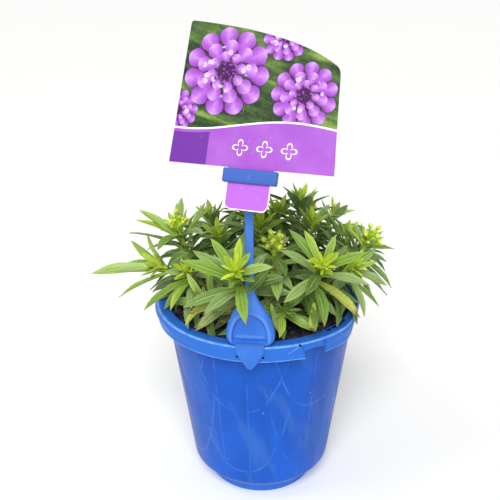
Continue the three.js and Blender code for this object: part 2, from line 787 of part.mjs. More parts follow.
const tips = shoots.map((shoot, i) => tipLeaves(shoot, stems[i], i));
const greens = shoots.map((shoot, i) => greenLeaves(shoot, stems[i], i));
shoots.forEach((shoot, i) => {
  const stem = stems[i];
  const green = fused((foot) => [stemGeometry(stem), ...greens[i].map((leaf) => (
    bladeGeometry(leaf, shoot.set && leaf.size > 24 ? toothed : plain, foot)))]);
  add(`shoot_${shoot.name}`, green, paint.leaf);
  const blades = (foot) => tips[i].map((leaf) => bladeGeometry(leaf, young, foot));
  if (shoot.buds) {
    const buds = (foot) => budParts(shoot, stem, i, foot);
    const head = fused((foot) => [core(stem, grow.budCore, grow.stemTip), ...blades(foot), ...buds(foot)]);
    add(`buds_${shoot.name}`, head, paint.bud);
  } else {
    const tip = fused((foot) => [core(stem, grow.tipHeight, grow.stemTip), ...blades(foot)]);
    add(`tip_${shoot.name}`, tip, paint.lime);
  }
});

export default candytuft;
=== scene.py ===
# Potted candytuft: fine leaves, buds, pot, label holder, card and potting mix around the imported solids.
# The building code works in millimetres, +Z up, and the label holder faces -Y. The scene is in metres.

import math
import random

import bpy
import numpy as np
from mathutils import Matrix, Vector
from mathutils.geometry import delaunay_2d_cdt


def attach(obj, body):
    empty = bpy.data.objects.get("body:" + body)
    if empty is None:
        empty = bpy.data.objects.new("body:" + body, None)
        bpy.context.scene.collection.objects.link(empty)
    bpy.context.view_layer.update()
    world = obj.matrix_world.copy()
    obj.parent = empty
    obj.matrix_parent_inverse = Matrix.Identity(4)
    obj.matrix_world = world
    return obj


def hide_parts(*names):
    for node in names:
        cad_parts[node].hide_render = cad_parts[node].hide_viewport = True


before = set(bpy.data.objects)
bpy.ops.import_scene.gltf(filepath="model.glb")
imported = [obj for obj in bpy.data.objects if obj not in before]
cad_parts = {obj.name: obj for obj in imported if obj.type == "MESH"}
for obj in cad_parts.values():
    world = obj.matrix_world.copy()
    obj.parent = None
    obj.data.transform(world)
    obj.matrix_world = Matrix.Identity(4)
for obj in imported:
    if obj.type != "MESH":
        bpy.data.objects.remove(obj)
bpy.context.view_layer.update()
mm = 0.001
up = np.array([0.0, 0.0, 1.0])


# Camera first: it stands where the photo was taken from

view = {
    "turn": 5.3, "away": 433.9, "height": 352.4, "aside": -0.896, "down": 22.71, "roll": -0.611,
    "lens": 50.4, "sensor": 36,
}


def makeCamera():
    data = bpy.data.cameras.new("camera")
    data.lens = view["lens"]
    data.sensor_width = view["sensor"]
    camera = bpy.data.objects.new("camera", data)
    turn = math.radians(view["turn"])
    spot = Vector((view["away"] * math.sin(turn), -view["away"] * math.cos(turn), view["height"])) * mm
    heading = math.radians(view["turn"] - view["aside"])
    pose = Matrix.Translation(spot) @ Matrix.Rotation(heading, 4, "Z")
    pose = pose @ Matrix.Rotation(math.radians(90 - view["down"]), 4, "X")
    camera.matrix_world = pose @ Matrix.Rotation(math.radians(view["roll"]), 4, "Z")
    bpy.context.scene.collection.objects.link(camera)
    bpy.context.scene.camera = camera


makeCamera()


# Shaders: a Wire is one socket, and an expression on wires adds the nodes for it

def paint(code):  # a colour code as linear red, green, blue and alpha
    values = [int(code[i:i + 2], 16) / 255 for i in (1, 3, 5)]
    return (*[v / 12.92 if v <= 0.04045 else ((v + 0.055) / 1.055) ** 2.4 for v in values], 1.0)


class Wire:
    def __init__(self, look, socket):
        self.look = look
        self.socket = socket

    def math(self, operation, *others):
        return self.look.node("ShaderNodeMath", {"operation": operation}, [self, *others])

    def __add__(self, other):
        return self.math("ADD", other)

    def __sub__(self, other):
        return self.math("SUBTRACT", other)

    def __mul__(self, other):
        return self.math("MULTIPLY", other)

    def __truediv__(self, other):
        return self.math("DIVIDE", other)

    def __pow__(self, other):
        return self.math("POWER", other)

    def __gt__(self, other):
        return self.math("GREATER_THAN", other)

    def __lt__(self, other):
        return self.math("LESS_THAN", other)

    def __abs__(self):
        return self.math("ABSOLUTE")

    def __rsub__(self, other):
        return self.look.node("ShaderNodeMath", {"operation": "SUBTRACT"}, [other, self])

    def __rtruediv__(self, other):
        return self.look.node("ShaderNodeMath", {"operation": "DIVIDE"}, [other, self])

    __radd__ = __add__
    __rmul__ = __mul__

    def rise(self, low, high):  # 0 below low, 1 above high, smooth between
        sockets = {"Value": self, "From Min": low, "From Max": high}
        return self.look.node("ShaderNodeMapRange", {"interpolation_type": "SMOOTHSTEP"}, sockets)

    def parts(self):
        made = self.look.node("ShaderNodeSeparateXYZ", {}, [self])
        return [Wire(self.look, socket) for socket in made.socket.node.outputs]


class Look:
    def __init__(self, name):
        self.material = bpy.data.materials.new(name)
        self.material.use_nodes = True
        self.tree = self.material.node_tree
        self.shader = self.tree.nodes["Principled BSDF"]

    def node(self, kind, settings=None, sockets=None, output=0):
        made = self.tree.nodes.new(kind)
        for key, value in (settings or {}).items():
            if key == "stops":
                ramp = made.color_ramp
                while len(ramp.elements) < len(value):
                    ramp.elements.new(0.5)
                for element, (at, colour) in zip(ramp.elements, value):
                    element.position = at
                    element.color = colour
            else:
                setattr(made, key, value)
        pairs = sockets.items() if isinstance(sockets, dict) else enumerate(sockets or [])
        for key, value in pairs:
            if isinstance(value, Wire):
                self.tree.links.new(value.socket, made.inputs[key])
            else:
                made.inputs[key].default_value = value
        return Wire(self, made.outputs[output])

    def mark(self, name):  # three numbers that a piece's mesh keeps at each corner
        return self.node("ShaderNodeAttribute", {"attribute_name": name}, {}, "Vector").parts()

    def place(self):  # the object's own millimetres
        spot = self.node("ShaderNodeTexCoord", {}, {}, "Object")
        return self.node("ShaderNodeVectorMath", {"operation": "SCALE"}, {0: spot, "Scale": 1000.0})

    def stretch(self, spot, scales):
        return self.node("ShaderNodeVectorMath", {"operation": "MULTIPLY"}, [spot, scales])

    def join(self, x, y, z=0.0):
        return self.node("ShaderNodeCombineXYZ", {}, [x, y, z])

    def noise(self, spot, scale, detail=3.0, rough=0.5):
        sockets = {"Vector": spot, "Scale": scale, "Detail": detail, "Roughness": rough}
        return self.node("ShaderNodeTexNoise", {}, sockets)

    def cells(self, spot, scale):  # the distance to the nearest of many scattered points
        return self.node("ShaderNodeTexVoronoi", {"feature": "F1"}, {"Vector": spot, "Scale": scale})

    def blend(self, share, low, high):  # from low to high, each a wire or a colour code
        low, high = (paint(end) if isinstance(end, str) else end for end in (low, high))
        settings = {"data_type": "RGBA", "blend_type": "MIX"}
        return self.node("ShaderNodeMix", settings, {0: share, 6: low, 7: high}, 2)

    def ramp(self, value, stops):  # stops are pairs of a position and a colour code
        stops = [(at, paint(code)) for at, code in stops]
        return self.node("ShaderNodeValToRGB", {"stops": stops}, [value])

    def bump(self, height, distance, strength=1.0):
        return self.node("ShaderNodeBump", {}, {"Height": height, "Distance": distance, "Strength": strength})

    def finish(self, **sockets):
        for key, value in sockets.items():
            target = self.shader.inputs[key.replace("_", " ")]
            if isinstance(value, Wire):
                self.tree.links.new(value.socket, target)
            else:
                target.default_value = value
        return self.material


# Building of meshes: a Form gathers corners, faces and marks, and becomes one piece

def sheetFaces(rows, columns, wrap=False):
    across = columns if wrap else columns - 1
    r, c = np.meshgrid(np.arange(rows - 1), np.arange(across), indexing="ij")
    a = r * columns + c
    b = r * columns + (c + 1) % columns
    return np.stack([a, b, b + columns, a + columns], -1).reshape(-1, 4)


class Form:
    def __init__(self):
        self.corners, self.faces, self.slots, self.place, self.tone = [], [], [], [], []
        self.count = 0

    def add(self, corners, faces, place=(0, 0, 0), tone=(0, 0, 0), slot=0):
        corners = np.asarray(corners, float).reshape(-1, 3)
        faces = np.asarray(faces, int)
        self.corners.append(corners)
        self.faces.append(faces + self.count)
        self.slots.append(np.full(len(faces), slot))
        self.place.append(np.broadcast_to(np.asarray(place, float), corners.shape))
        self.tone.append(np.broadcast_to(np.asarray(tone, float), corners.shape))
        self.count += len(corners)

    def more(self, faces, slot=0):  # further faces on corners that are there
        self.faces.append(np.asarray(faces, int))
        self.slots.append(np.full(len(faces), slot))

    def tube(self, rings, tone=(0, 0, 0), slot=0):  # rings in a row, closed at both ends
        rings = np.asarray(rings, float)
        rows, columns = rings.shape[:2]
        low = self.count
        high = low + (rows - 1) * columns
        self.add(rings, sheetFaces(rows, columns, wrap=True), tone=tone, slot=slot)
        ends = [(low, low + i + 1, low + i) for i in range(1, columns - 1)]
        ends += [(high, high + i, high + i + 1) for i in range(1, columns - 1)]
        self.more(ends, slot)

    def mesh(self, name):
        made = bpy.data.meshes.new(name)
        faces = [face for block in self.faces for face in block.tolist()]
        made.from_pydata((np.concatenate(self.corners) * mm).tolist(), [], faces)
        return made

    def piece(self, name, materials, slotName, nodes, sharp=40):
        mesh = self.mesh(name)
        for material in materials:
            mesh.materials.append(material)
        mesh.polygons.foreach_set("material_index", np.concatenate(self.slots).astype(np.int32))
        for title, values in (("place", self.place), ("tone", self.tone)):
            layer = mesh.attributes.new(title, "FLOAT_VECTOR", "POINT")
            layer.data.foreach_set("vector", np.concatenate(values).astype(np.float32).ravel())
        mesh.update()
        mesh.shade_smooth()
        mesh.set_sharp_from_angle(angle=math.radians(sharp))
        made = bpy.data.objects.new(name, mesh)
        bpy.context.scene.collection.objects.link(made)
        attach(made, "root")
        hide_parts(*nodes)
        return made


def unit(v):  # the same way, with a length of 1
    return v / np.linalg.norm(v, axis=-1, keepdims=True)


def aside(axis, hint):  # square to the axis, as near to the hint as can be
    return unit(hint - axis * np.sum(hint * axis, -1, keepdims=True))


def curve(a, b, c, count=24):  # from a to just before c, bent toward b
    t = np.linspace(0, 1, count, endpoint=False)[:, None]
    a, b, c = (np.array(p, float) for p in (a, b, c))
    return (1 - t) ** 2 * a + 2 * t * (1 - t) * b + t * t * c


def roundRing(centre, axis, radius, sides, hint):
    u = aside(axis, hint)
    v = np.cross(axis, u)
    a = np.arange(sides) / sides * 2 * math.pi
    return centre + radius * (np.outer(np.cos(a), u) + np.outer(np.sin(a), v))


# The plant's rule, as in the solids: places of the growing points, and leaves listed or set by rule

seed = 20251
turnOfLeaves = math.radians(137.5)
potSize = {"lipInner": 62, "lipOuter": 70, "height": 137, "wallTop": 64.5, "wallFoot": 49.4, "chamferTop": 17}
mixLevel = 127
gripFront = -71
labelSpot = {"centre": (1.1, -68.5, 242.3), "yaw": math.radians(-14), "lean": math.radians(-25)}

grow = {
    "baseShare": 0.42, "outward": 0.35, "footPull": 0.36, "headPull": 0.4,  # the bend of a stem
    "stemFoot": 1.9, "stemTip": 1.3, "stemSteps": 5, "depth": 8, "gap": 0.3,
    "firstLeaf": 1.8, "leafSpacing": 2.7, "lowestLeaf": 0.3, "fullAfter": 8,
    "lean": (44, 48, 14), "size": (23, 15, 9), "toothedFrom": 22,  # at the head, more with age, and by chance
    "longest": 42, "widest": 3.7, "narrowest": 1.2, "bladeStart": 0.1, "kneeAt": 0.46,
    "padSteps": 8, "padThick": 1.05, "padWidest": 0.68,
    "tipLeaves": 4, "tipLean": (44, -22, 10), "tipSize": (13.5, -3, 3),
}

shoots = [  # name, growing point, turn and tilt of its face, leaves, buds, tips of the leaves listed one by one
    ("front", (-7, -73, 186.8), 0, 46, 14, 0,
     [[2, 5, 20], [21, -9, 19], [-15, 5, 19], [-2, -14, -3], [8, -13, 5], [-27, 12, 8],
      [-32, -3, 8], [27, -18, -8], [-29, -12, -17], [4, -21, -20], [-23, -8, -30]]),
    ("right_front", (42, -47, 180.5), 10, 48, 14, 0,
     [[7, 3, 20], [-12, 10, 20], [-21, 10, 20], [26, -3, 12], [-25, -9, 14], [28, -10, -6],
      [-22, -21, -14], [23, -13, -26], [2, -29, -24], [15, 17, 8], [-15, -15, -24], [-3, -19, -33]]),
    ("middle_bud", (11.5, -31, 182), 0, 14, 13, 8,
     [[-8, 9, 8], [9, 11, 7], [6, -17, -7], [-8, -12, 2], [16, 1, -6], [-14, -41, -9], [13, -23, -14]]),
    ("left_low", (-63, -17, 163.5), -66, 66, 13, 0,
     [[-27, 9, 13], [-13, 13, 19], [-50, -5, -11], [-28, -13, -17], [-35, -12, -8], [-29, 17, -5],
      [-4, -23, -6]]),
    ("left_bud", (-54, 0, 182), -50, 12, 14, 5,
     [[-14, 14, 16], [-5, 16, 15], [23, 10, 16], [-30, 0, 8], [-29, 8, 12], [14, 22, 14], [24, -16, 8],
      [-35, -8, 2], [-5, -26, -4], [11, -26, -8]]),
    ("right_bud", (70, 5, 174), 70, 26, 14, 7,
     [[-15, 5, 11], [-8, 20, 9], [12, -13, 0], [12, 15, 1], [6, -19, -3], [-18, -19, 4], [10, -21, -8]]),
    ("right_mid", (34, 22, 180), 60, 10, 12, 0, []),
    ("right_back", (25, 47, 187), 150, 16, 14, 0,
     [[-13, 3, 13], [-2, 13, 9], [21, 3, 7], [25, -7, 2], [12, 19, 5], [-19, 3, 3], [29, -11, -3]]),
    ("back_mid", (10, 30, 184), 0, 6, 11, 0, []),
    ("centre", (-1, 7, 183), 20, 14, 11, 0, []),
    ("left_mid", (-28, 2, 177), -20, 20, 11, 0, []),
    ("left_front", (-44, -24, 163), -20, 40, 12, 0,
     [[-18, 4, -2], [13, -16, 12], [-30, -24, -12], [-7, -30, -12], [12, -28, -6]]),
    ("right_edge", (60, -17, 167), 50, 45, 12, 0, []),
    ("right_side", (57, 24, 170), 90, 30, 11, 0, []),
    ("left_back", (-37, 32, 179), -110, 14, 12, 0, []),
    ("back_left", (-12, 52, 180), 180, 20, 11, 0, []),
    ("back_right", (48, 52, 175), 140, 28, 11, 0, []),
    ("left_side", (-63, 28, 168), -100, 34, 11, 0, []),
    ("back_low", (2, 74, 164), 180, 52, 11, 0, []),
    ("back_left_low", (-40, 62, 162), -140, 48, 11, 0, []),
    ("back_bud", (28, 72, 169), 160, 30, 11, 6, []),
    ("right_back_low", (70, 38, 161), 115, 50, 11, 0, []),
    ("front_left_low", (-31, -44, 152), -30, 56, 10, 0, []),
    ("front_right_low", (18, -48, 151), 30, 52, 9, 0, []),
]


def draw(shoot, leaf, use):
    low = 0xFFFFFFFF
    h = (seed + shoot * 7919 + leaf * 104729 + use * 1299709) & low
    h = ((h ^ (h >> 15)) * 0x2C1B3C6D) & low
    h = ((h ^ (h >> 12)) * 0x297A2D39) & low
    return (h ^ (h >> 15)) / 4294967296


def wallRadius(z):
    slope = (potSize["wallTop"] - potSize["wallFoot"]) / (potSize["height"] - 5 - potSize["chamferTop"])
    return potSize["wallFoot"] + slope * (z - potSize["chamferTop"])


class Stem:
    def __init__(self, head, turn, tilt):
        self.head = np.array(head, float)
        t, k = math.radians(turn), math.radians(tilt)
        self.axis = np.array([math.sin(k) * math.sin(t), -math.sin(k) * math.cos(t), math.cos(k)])
        ground = np.array([head[0] * grow["baseShare"], head[1] * grow["baseShare"], mixLevel])
        way = self.head - ground
        self.start = unit(np.array([way[0] * grow["outward"], way[1] * grow["outward"], way[2]]))
        self.foot = ground - self.start * grow["depth"]
        span = np.linalg.norm(way)
        low, high = self.start * span * grow["footPull"], self.axis * span * grow["headPull"]
        self.line = np.array([ground, ground + low, self.head - high, self.head])
        self.hint = unit(np.array([-way[1], way[0], 0.0]))
        self.length = float(np.linalg.norm(np.diff(self.at(np.arange(201) / 200), axis=0), axis=1).sum())

    def at(self, t):
        t = np.asarray(t, float)[..., None]
        a, b, c, d = self.line
        return (1 - t) ** 3 * a + 3 * (1 - t) ** 2 * t * b + 3 * (1 - t) * t * t * c + t ** 3 * d

    def along(self, t):
        t = np.asarray(t, float)
        return unit(self.at(np.minimum(t + 0.0001, 1)) - self.at(np.maximum(t - 0.0001, 0)))

    def facet(self, t):
        steps = grow["stemSteps"]
        step = min(math.floor(t * steps), steps - 1)
        low = self.at(step / steps)
        return low + (self.at((step + 1) / steps) - low) * (t * steps - step)


def stemRadius(t):
    return grow["stemFoot"] + (grow["stemTip"] - grow["stemFoot"]) * t


def leafOf(middle, radius, axis, chord, arch):
    size = float(np.linalg.norm(chord))
    point = middle + aside(axis, chord) * radius * 0.3
    tip = middle + chord
    knee = point + (tip - point) * grow["kneeAt"] + aside(chord / size, axis) * arch * size
    half = grow["narrowest"] + (grow["widest"] - grow["narrowest"]) * (size / grow["longest"])
    return {"point": point, "knee": knee, "tip": tip, "axis": axis, "size": size, "half": half}


def chordAt(axis, angle, lean, size, droop):
    u = aside(axis, up)
    right = np.cross(u, axis)
    out = u * math.cos(angle) + right * math.sin(angle)
    chord = axis * size * math.cos(lean) + out * size * math.sin(lean)
    chord[2] -= droop * size
    return chord


def midrib(leaf, s):
    s = np.asarray(s, float)[:, None]
    at = leaf["point"] * (1 - s) ** 2 + leaf["knee"] * 2 * s * (1 - s) + leaf["tip"] * s * s
    along = unit((leaf["knee"] - leaf["point"]) * (1 - s) + (leaf["tip"] - leaf["knee"]) * s)
    side = unit(np.cross(along, leaf["axis"]))
    return at, along, side, np.cross(side, along)


def turned(v, axis, angle):
    c, s = math.cos(angle), math.sin(angle)
    return v * c + np.cross(axis, v) * s + axis * (axis @ v) * (1 - c)


padShares = (1 - grow["bladeStart"]) * (np.arange(grow["padSteps"]) + 0.5) / grow["padSteps"]
padShares = grow["bladeStart"] + padShares
padFade = 1 - (padShares - grow["padWidest"]) * 2.4
padWidths = np.where(padShares < grow["padWidest"], 0.45 + 0.8 * padShares, padFade)


def padsOf(leaf):  # flat boxes along the leaf: middle, half length, half width and half thickness of each
    at, along, side, normal = midrib(leaf, padShares)
    a = along * (leaf["size"] * (1 - grow["bladeStart"]) * 0.8 / grow["padSteps"])
    b = side * (leaf["half"] * padWidths * 0.95 + 0.2)[:, None]
    return np.stack([at, a, b, normal * grow["padThick"]], 1)


class Room:  # what has been placed: flat pads, each of an owner
    most = 20000
    farthest = 9  # pads whose middles are farther apart never touch

    def __init__(self):
        self.pads = np.zeros((self.most, 4, 3))
        self.owners = np.zeros(self.most, int)
        self.count = 0

    def put(self, pads, owner):
        self.pads[self.count:self.count + len(pads)] = pads
        self.owners[self.count:self.count + len(pads)] = owner
        self.count += len(pads)

    def meets(self, pads, owner):
        others = self.pads[:self.count][self.owners[:self.count] != owner]
        between = others[None, :, 0] - pads[:, None, 0]
        distance = np.linalg.norm(between, axis=2)
        i, j = np.nonzero(distance <= self.farthest)
        if not len(i):
            return False
        d = distance[i, j]
        way = between[i, j] / (d + 1e-9)[:, None]
        mine = np.linalg.norm(np.einsum("nkc,nc->nk", pads[i, 1:], way), axis=1)
        theirs = np.linalg.norm(np.einsum("nkc,nc->nk", others[j, 1:], way), axis=1)
        return bool(np.any(d < mine + theirs))


room = Room()


keepOff = {  # the room of the holder and the card, stepped at heights
    "mix": 1.4, "clipTop": 240, "legBack": -58.5, "tabDeep": 2.2, "cardFrom": 215, "card": 3,
    "widthAt": (153, 163, 173), "width": (16, 11.5, 6, 2.45), "stemFront": -68,
    "backAt": (143, 173), "back": (-58.5, -64.6, -64),
}


def stepped(z, heights, values):  # the first value below the first height, and so on upward
    return np.array(values)[np.searchsorted(heights, z, side="right")]


def nearPot(x, y, z, margin):
    r = np.hypot(x, y)
    inner, outer, height = potSize["lipInner"], potSize["lipOuter"], potSize["height"]
    hit = (r < inner) & (z < mixLevel + keepOff["mix"] + margin)
    hit |= (r > inner - margin) & (r < outer + margin) & (z < height + margin)
    return hit | ((r < wallRadius(z) + margin) & (z < height) & (z > 0) & (r > inner))


def nearHolder(x, y, z, margin):
    width = stepped(z, keepOff["widthAt"], keepOff["width"])
    back = stepped(z, keepOff["backAt"], keepOff["back"])
    tabFront = gripFront - keepOff["tabDeep"]
    front = np.where(z < keepOff["widthAt"][-1], tabFront, keepOff["stemFront"])
    hit = (np.abs(x) < width + margin) & (y < back + margin) & (y > front - margin) & (z < keepOff["clipTop"])
    return hit & (y < keepOff["legBack"] + margin) & (y > tabFront - margin)


def nearCard(p, margin):
    local = p - np.array(labelSpot["centre"])
    yaw, lean = -labelSpot["yaw"], -labelSpot["lean"]
    away = local[:, 0] * math.sin(yaw) + local[:, 1] * math.cos(yaw)
    depth = away * math.cos(lean) - local[:, 2] * math.sin(lean)
    return (p[:, 2] > keepOff["cardFrom"]) & (np.abs(depth) < keepOff["card"] + margin)


def blocked(p, margin):  # True where a point would touch the pot, the mix, the holder or the card
    return nearPot(*p.T, margin) | nearHolder(*p.T, margin) | nearCard(p, margin)


def clear(leaf, pads, owner):
    edges = np.concatenate([pads[:, 0] + pads[:, 2], pads[:, 0] - pads[:, 2], leaf["tip"][None]])
    if blocked(pads[:, 0], 0.9).any() or blocked(edges, 0.6).any():
        return False
    return not room.meets(pads, owner)


trials = {
    "shortenings": (1, 0.8), "bends": (0, 12, -12, 24, -22), "turns": (0, 13, -13, 26, -26, 40, -40, 55, -55),
}


def seat(owner, middle, radius, axis, chord, arch, search=trials):  # the first bend and turn that has room
    side = unit(np.cross(axis, chord))
    for shortening in search["shortenings"]:
        for bend in search["bends"]:
            for turn in search["turns"]:
                way = turned(turned(chord * shortening, side, math.radians(bend)), axis, math.radians(turn))
                leaf = leafOf(middle, radius, axis, way, arch)
                pads = padsOf(leaf)
                if clear(leaf, pads, owner):
                    room.put(pads, owner)
                    return leaf
    return None


def putStem(stem, owner):
    steps = math.ceil(stem.length / 3)
    t = np.arange(steps + 1) / steps
    along = stem.along(t)
    side = aside(along, stem.hint)
    thick = grow["stemFoot"] + 0.3
    room.put(np.stack([stem.at(t), along * 2, side * thick, np.cross(along, side) * thick], 1), owner)


def greenLeaves(number, shoot, stem):
    found = []
    count, handSet = shoot[4], shoot[6]
    leanHigh, leanLower, leanVaries = grow["lean"]
    sizeHigh, sizeLower, sizeVaries = grow["size"]
    for i in range(count):
        down = grow["firstLeaf"] + grow["leafSpacing"] * i * (0.6 + 0.045 * i)
        t = max(1 - down / stem.length, grow["lowestLeaf"])
        middle, axis = stem.facet(t), stem.along(t)
        share = min(i / grow["fullAfter"], 1)
        angle = i * turnOfLeaves + (draw(number, i, 1) - 0.5) * 0.5 + number
        lean = math.radians(leanHigh + leanLower * share + leanVaries * (draw(number, i, 2) - 0.5))
        size = sizeHigh + sizeLower * share + sizeVaries * (draw(number, i, 3) - 0.5)
        if i < len(handSet):
            chord = np.array(handSet[i], float) + stem.head - middle
        else:
            chord = chordAt(axis, angle, lean, size, 0.05 + 0.35 * share * draw(number, i, 4))
        leaf = seat(number, middle, stemRadius(t), axis, chord, 0.1 + 0.1 * draw(number, i, 12))
        if leaf:
            leaf["age"] = min(0.3 + (0.04 if i < len(handSet) else 0.07) * i, 0.95)
            leaf["toothed"] = leaf["size"] > grow["toothedFrom"]
            found.append(leaf)
    return found


def tipLeaves(number, stem):
    found = []
    leanLow, leanHigher, leanVaries = grow["tipLean"]
    sizeLow, sizeHigher, sizeVaries = grow["tipSize"]
    for i in range(grow["tipLeaves"]):
        share = i / (grow["tipLeaves"] - 1)
        middle = stem.head + stem.axis * (grow["gap"] + 1.2 + 3.2 * share)
        angle = i * turnOfLeaves + draw(number, i, 5) + number * 2
        lean = math.radians(leanLow + leanHigher * share + leanVaries * draw(number, i, 6))
        size = sizeLow + sizeHigher * share + sizeVaries * draw(number, i, 7)
        leaf = seat(number + 100, middle, 1, stem.axis, chordAt(stem.axis, angle, lean, size, 0), -0.12)
        if leaf:
            leaf["age"] = 0.24 - 0.1 * share
            found.append(leaf)
    return found


stems = [Stem(shoot[1], shoot[2], shoot[3]) for shoot in shoots]
for number, stem in enumerate(stems):
    putStem(stem, number)
tips = [tipLeaves(number, stem) for number, stem in enumerate(stems)]
greens = [greenLeaves(number, shoot, stems[number]) for number, shoot in enumerate(shoots)]
print("leaves placed:", sum(map(len, greens)), "green,", sum(map(len, tips)), "young")


# Blades

blade = {
    "stations": (0, 0.07, 0.14, 0.22, 0.3, 0.38, 0.46, 0.54, 0.61, 0.67, 0.73, 0.79, 0.84, 0.89, 0.93, 0.965,
                 0.985, 1),
    "columns": (-1, -0.74, -0.44, -0.16, 0, 0.16, 0.44, 0.74, 1),
    "fewStations": (0, 0.12, 0.28, 0.44, 0.6, 0.74, 0.86, 0.95, 1),
    "fewColumns": (-1, -0.5, 0, 0.5, 1),
    "foot": 0.3,  # half width at the stem, as a share of the greatest
    "widestAt": 0.63,
    "spread": 1.15,  # a smaller power gives more even sides
    "blunt": 1.95,  # a larger power gives a rounder tip
    "slender": 0.93,
    "leastShare": 0.03,
    "ribThick": 0.75,
    "edgeThick": 0.24,
    "cup": 0.3,
    "wave": 0.1,
    "twist": 16,
    "groove": 0.3,  # along the rib, on the upper side
    "teeth": (1, 2, 2, 3),  # one of these on each side
    "firstTooth": 0.66,
    "toothGap": 0.085,
    "tooth": 0.085,
    "toothLength": 0.06,
    "toothDrop": 0.014,
}
chance = random.Random(731)


def bladeShares(s):
    way = np.sin(math.pi / 2 * np.clip(s / blade["widestAt"], 0, 1)) ** blade["spread"]
    rising = blade["foot"] + (1 - blade["foot"]) * way
    falling = 1 - np.clip((s - blade["widestAt"]) / (1 - blade["widestAt"]), 0, 1) ** blade["blunt"]
    return np.where(s < blade["widestAt"], rising, falling)


def bladeTeeth():  # the side, place and size of each small tooth near the tip
    teeth = []
    for side in (0, 1):
        at = blade["firstTooth"] + 0.05 * chance.random()
        for _ in range(chance.choice(blade["teeth"])):
            teeth.append((side, at, blade["tooth"] * (0.6 + 0.6 * chance.random())))
            at += blade["toothGap"] + 0.03 * chance.random()
    return teeth


def bladeStations(few, teeth):
    s = set(blade["fewStations" if few else "stations"])
    for _, at, _ in teeth:
        s.update((at - blade["toothLength"], at, at + blade["toothDrop"]))
    return np.array(sorted(s))


def bladeWidths(s, teeth, half):  # left and right half width at each station
    shares = bladeShares(s)
    widths = np.stack([shares, shares], 1)
    for side, at, size in teeth:
        before = np.clip((s - at + blade["toothLength"]) / blade["toothLength"], 0, 1)
        after = np.clip(1 - (s - at) / blade["toothDrop"], 0, 1)
        widths[:, side] += size * np.where(s <= at, before, after) * (0.4 + 0.6 * shares)
    return np.maximum(widths, blade["leastShare"]) * half * blade["slender"]


def bladeSurfaces(leaf, s, u, widths):  # the upper side is cupped, waved, twisted and grooved along the rib
    at, _, across, normal = midrib(leaf, s)
    s, u = s[:, None], u[None]
    fold = blade["cup"] * (0.6 + 0.9 * chance.random())
    wave = blade["wave"] * leaf["half"] * chance.random()
    beat, phase = 9 + 6 * chance.random(), 6 * chance.random()
    sway = s * (math.radians(blade["twist"]) * (chance.random() - 0.5))
    lateral = np.where(u < 0, widths[:, :1], widths[:, 1:]) * u
    lift = fold * np.abs(lateral) ** 1.25 * 0.85
    lift += wave * np.sin(beat * s + phase) * u * np.abs(u)
    lift -= blade["groove"] * np.exp(-(u / 0.2) ** 2) * np.sin(math.pi * np.clip(s, 0.02, 0.98))
    sideways = lateral * np.cos(sway) - lift * np.sin(sway)
    upward = lateral * np.sin(sway) + lift * np.cos(sway)
    ribs = np.exp(-(u / 0.3) ** 2) * (1 - 0.75 * s)
    thick = blade["edgeThick"] + (blade["ribThick"] - blade["edgeThick"]) * ribs
    thick = np.minimum(thick, 0.35 + widths.mean(1)[:, None] * 0.5)
    top = at[:, None] + across[:, None] * sideways[..., None] + normal[:, None] * upward[..., None]
    return top, top - normal[:, None] * thick[..., None]


def bladeFaces(rows, columns):  # round the blade, and across both its ends
    around = sheetFaces(rows, 2 * columns, wrap=True)[:, ::-1]
    ends = []
    for row, order in ((0, -1), (rows - 1, 1)):
        base = row * 2 * columns
        for i in range(columns - 1):
            far = base + 2 * columns - 1 - i
            ends.append((base + i, base + i + 1, far - 1, far)[::order])
    return np.concatenate([around, np.array(ends)])


def addBlade(form, leaf, toothed=False, hurt=0.0, slot=0, few=False):
    teeth = bladeTeeth() if toothed else []
    s, u = bladeStations(few, teeth), np.array(blade["fewColumns" if few else "columns"])
    top, under = bladeSurfaces(leaf, s, u, bladeWidths(s, teeth, leaf["half"]))
    rows, columns = len(s), len(u)
    place = np.zeros((rows, 2 * columns, 3))  # across, along, and 1 on the upper side
    place[..., 0] = np.concatenate([u, u[::-1]])[None]
    place[..., 1] = s[:, None]
    place[:, :columns, 2] = 1
    rings = np.concatenate([top, under[:, ::-1]], 1)
    tone = (leaf["age"], chance.random(), hurt)
    form.add(rings, bladeFaces(rows, columns), place.reshape(-1, 3), tone, slot)


stalk = {"slender": 0.84, "sides": 10, "rowLength": 1.6, "swell": (0.07, 0.05)}


def addStem(form, stem):
    rows = max(int(stem.length / stalk["rowLength"]), 8)
    sides, (long, short) = stalk["sides"], stalk["swell"]
    t = np.arange(rows + 1) / rows
    rings = [roundRing(stem.foot, stem.start, grow["stemFoot"] * stalk["slender"], sides, stem.hint)]
    for i, (centre, way) in enumerate(zip(stem.at(t), stem.along(t))):
        swell = 1 + long * math.sin(i * 2.1) + short * math.sin(i * 0.9 + 1)
        rings.append(roundRing(centre, way, stemRadius(t[i]) * stalk["slender"] * swell, sides, stem.hint))
    heights = np.concatenate([[0], t])
    tone = np.repeat(np.stack([heights, heights * 0, heights * 0], 1), sides, axis=0)
    form.tube(np.array(rings), tone=tone, slot=1)


# Colours of the plant

foliage = {
    "young": "#c8e030", "core": "#dcf03e", "fresh": "#8fb03c", "mature": "#688d34", "old": "#46652d",
    # pale is partly a painted sheen, and fold is painted shade in creases and streaks
    "underside": "#84a06a", "rib": "#b3cc66", "pale": "#a3b884", "fold": "#34511f",
    "dry": "#b09552", "burnt": "#6e4a2c", "yellow": "#d6cf5c",
    "ages": ((0.0, "young"), (0.32, "fresh"), (0.62, "mature"), (0.95, "old")),
    "stem": ((0.0, "#6d5a3c"), (0.35, "#8d8558"), (0.6, "#93a552"), (0.95, "#b4cb48")),
    "stemGrain": "#5e4a35",
}


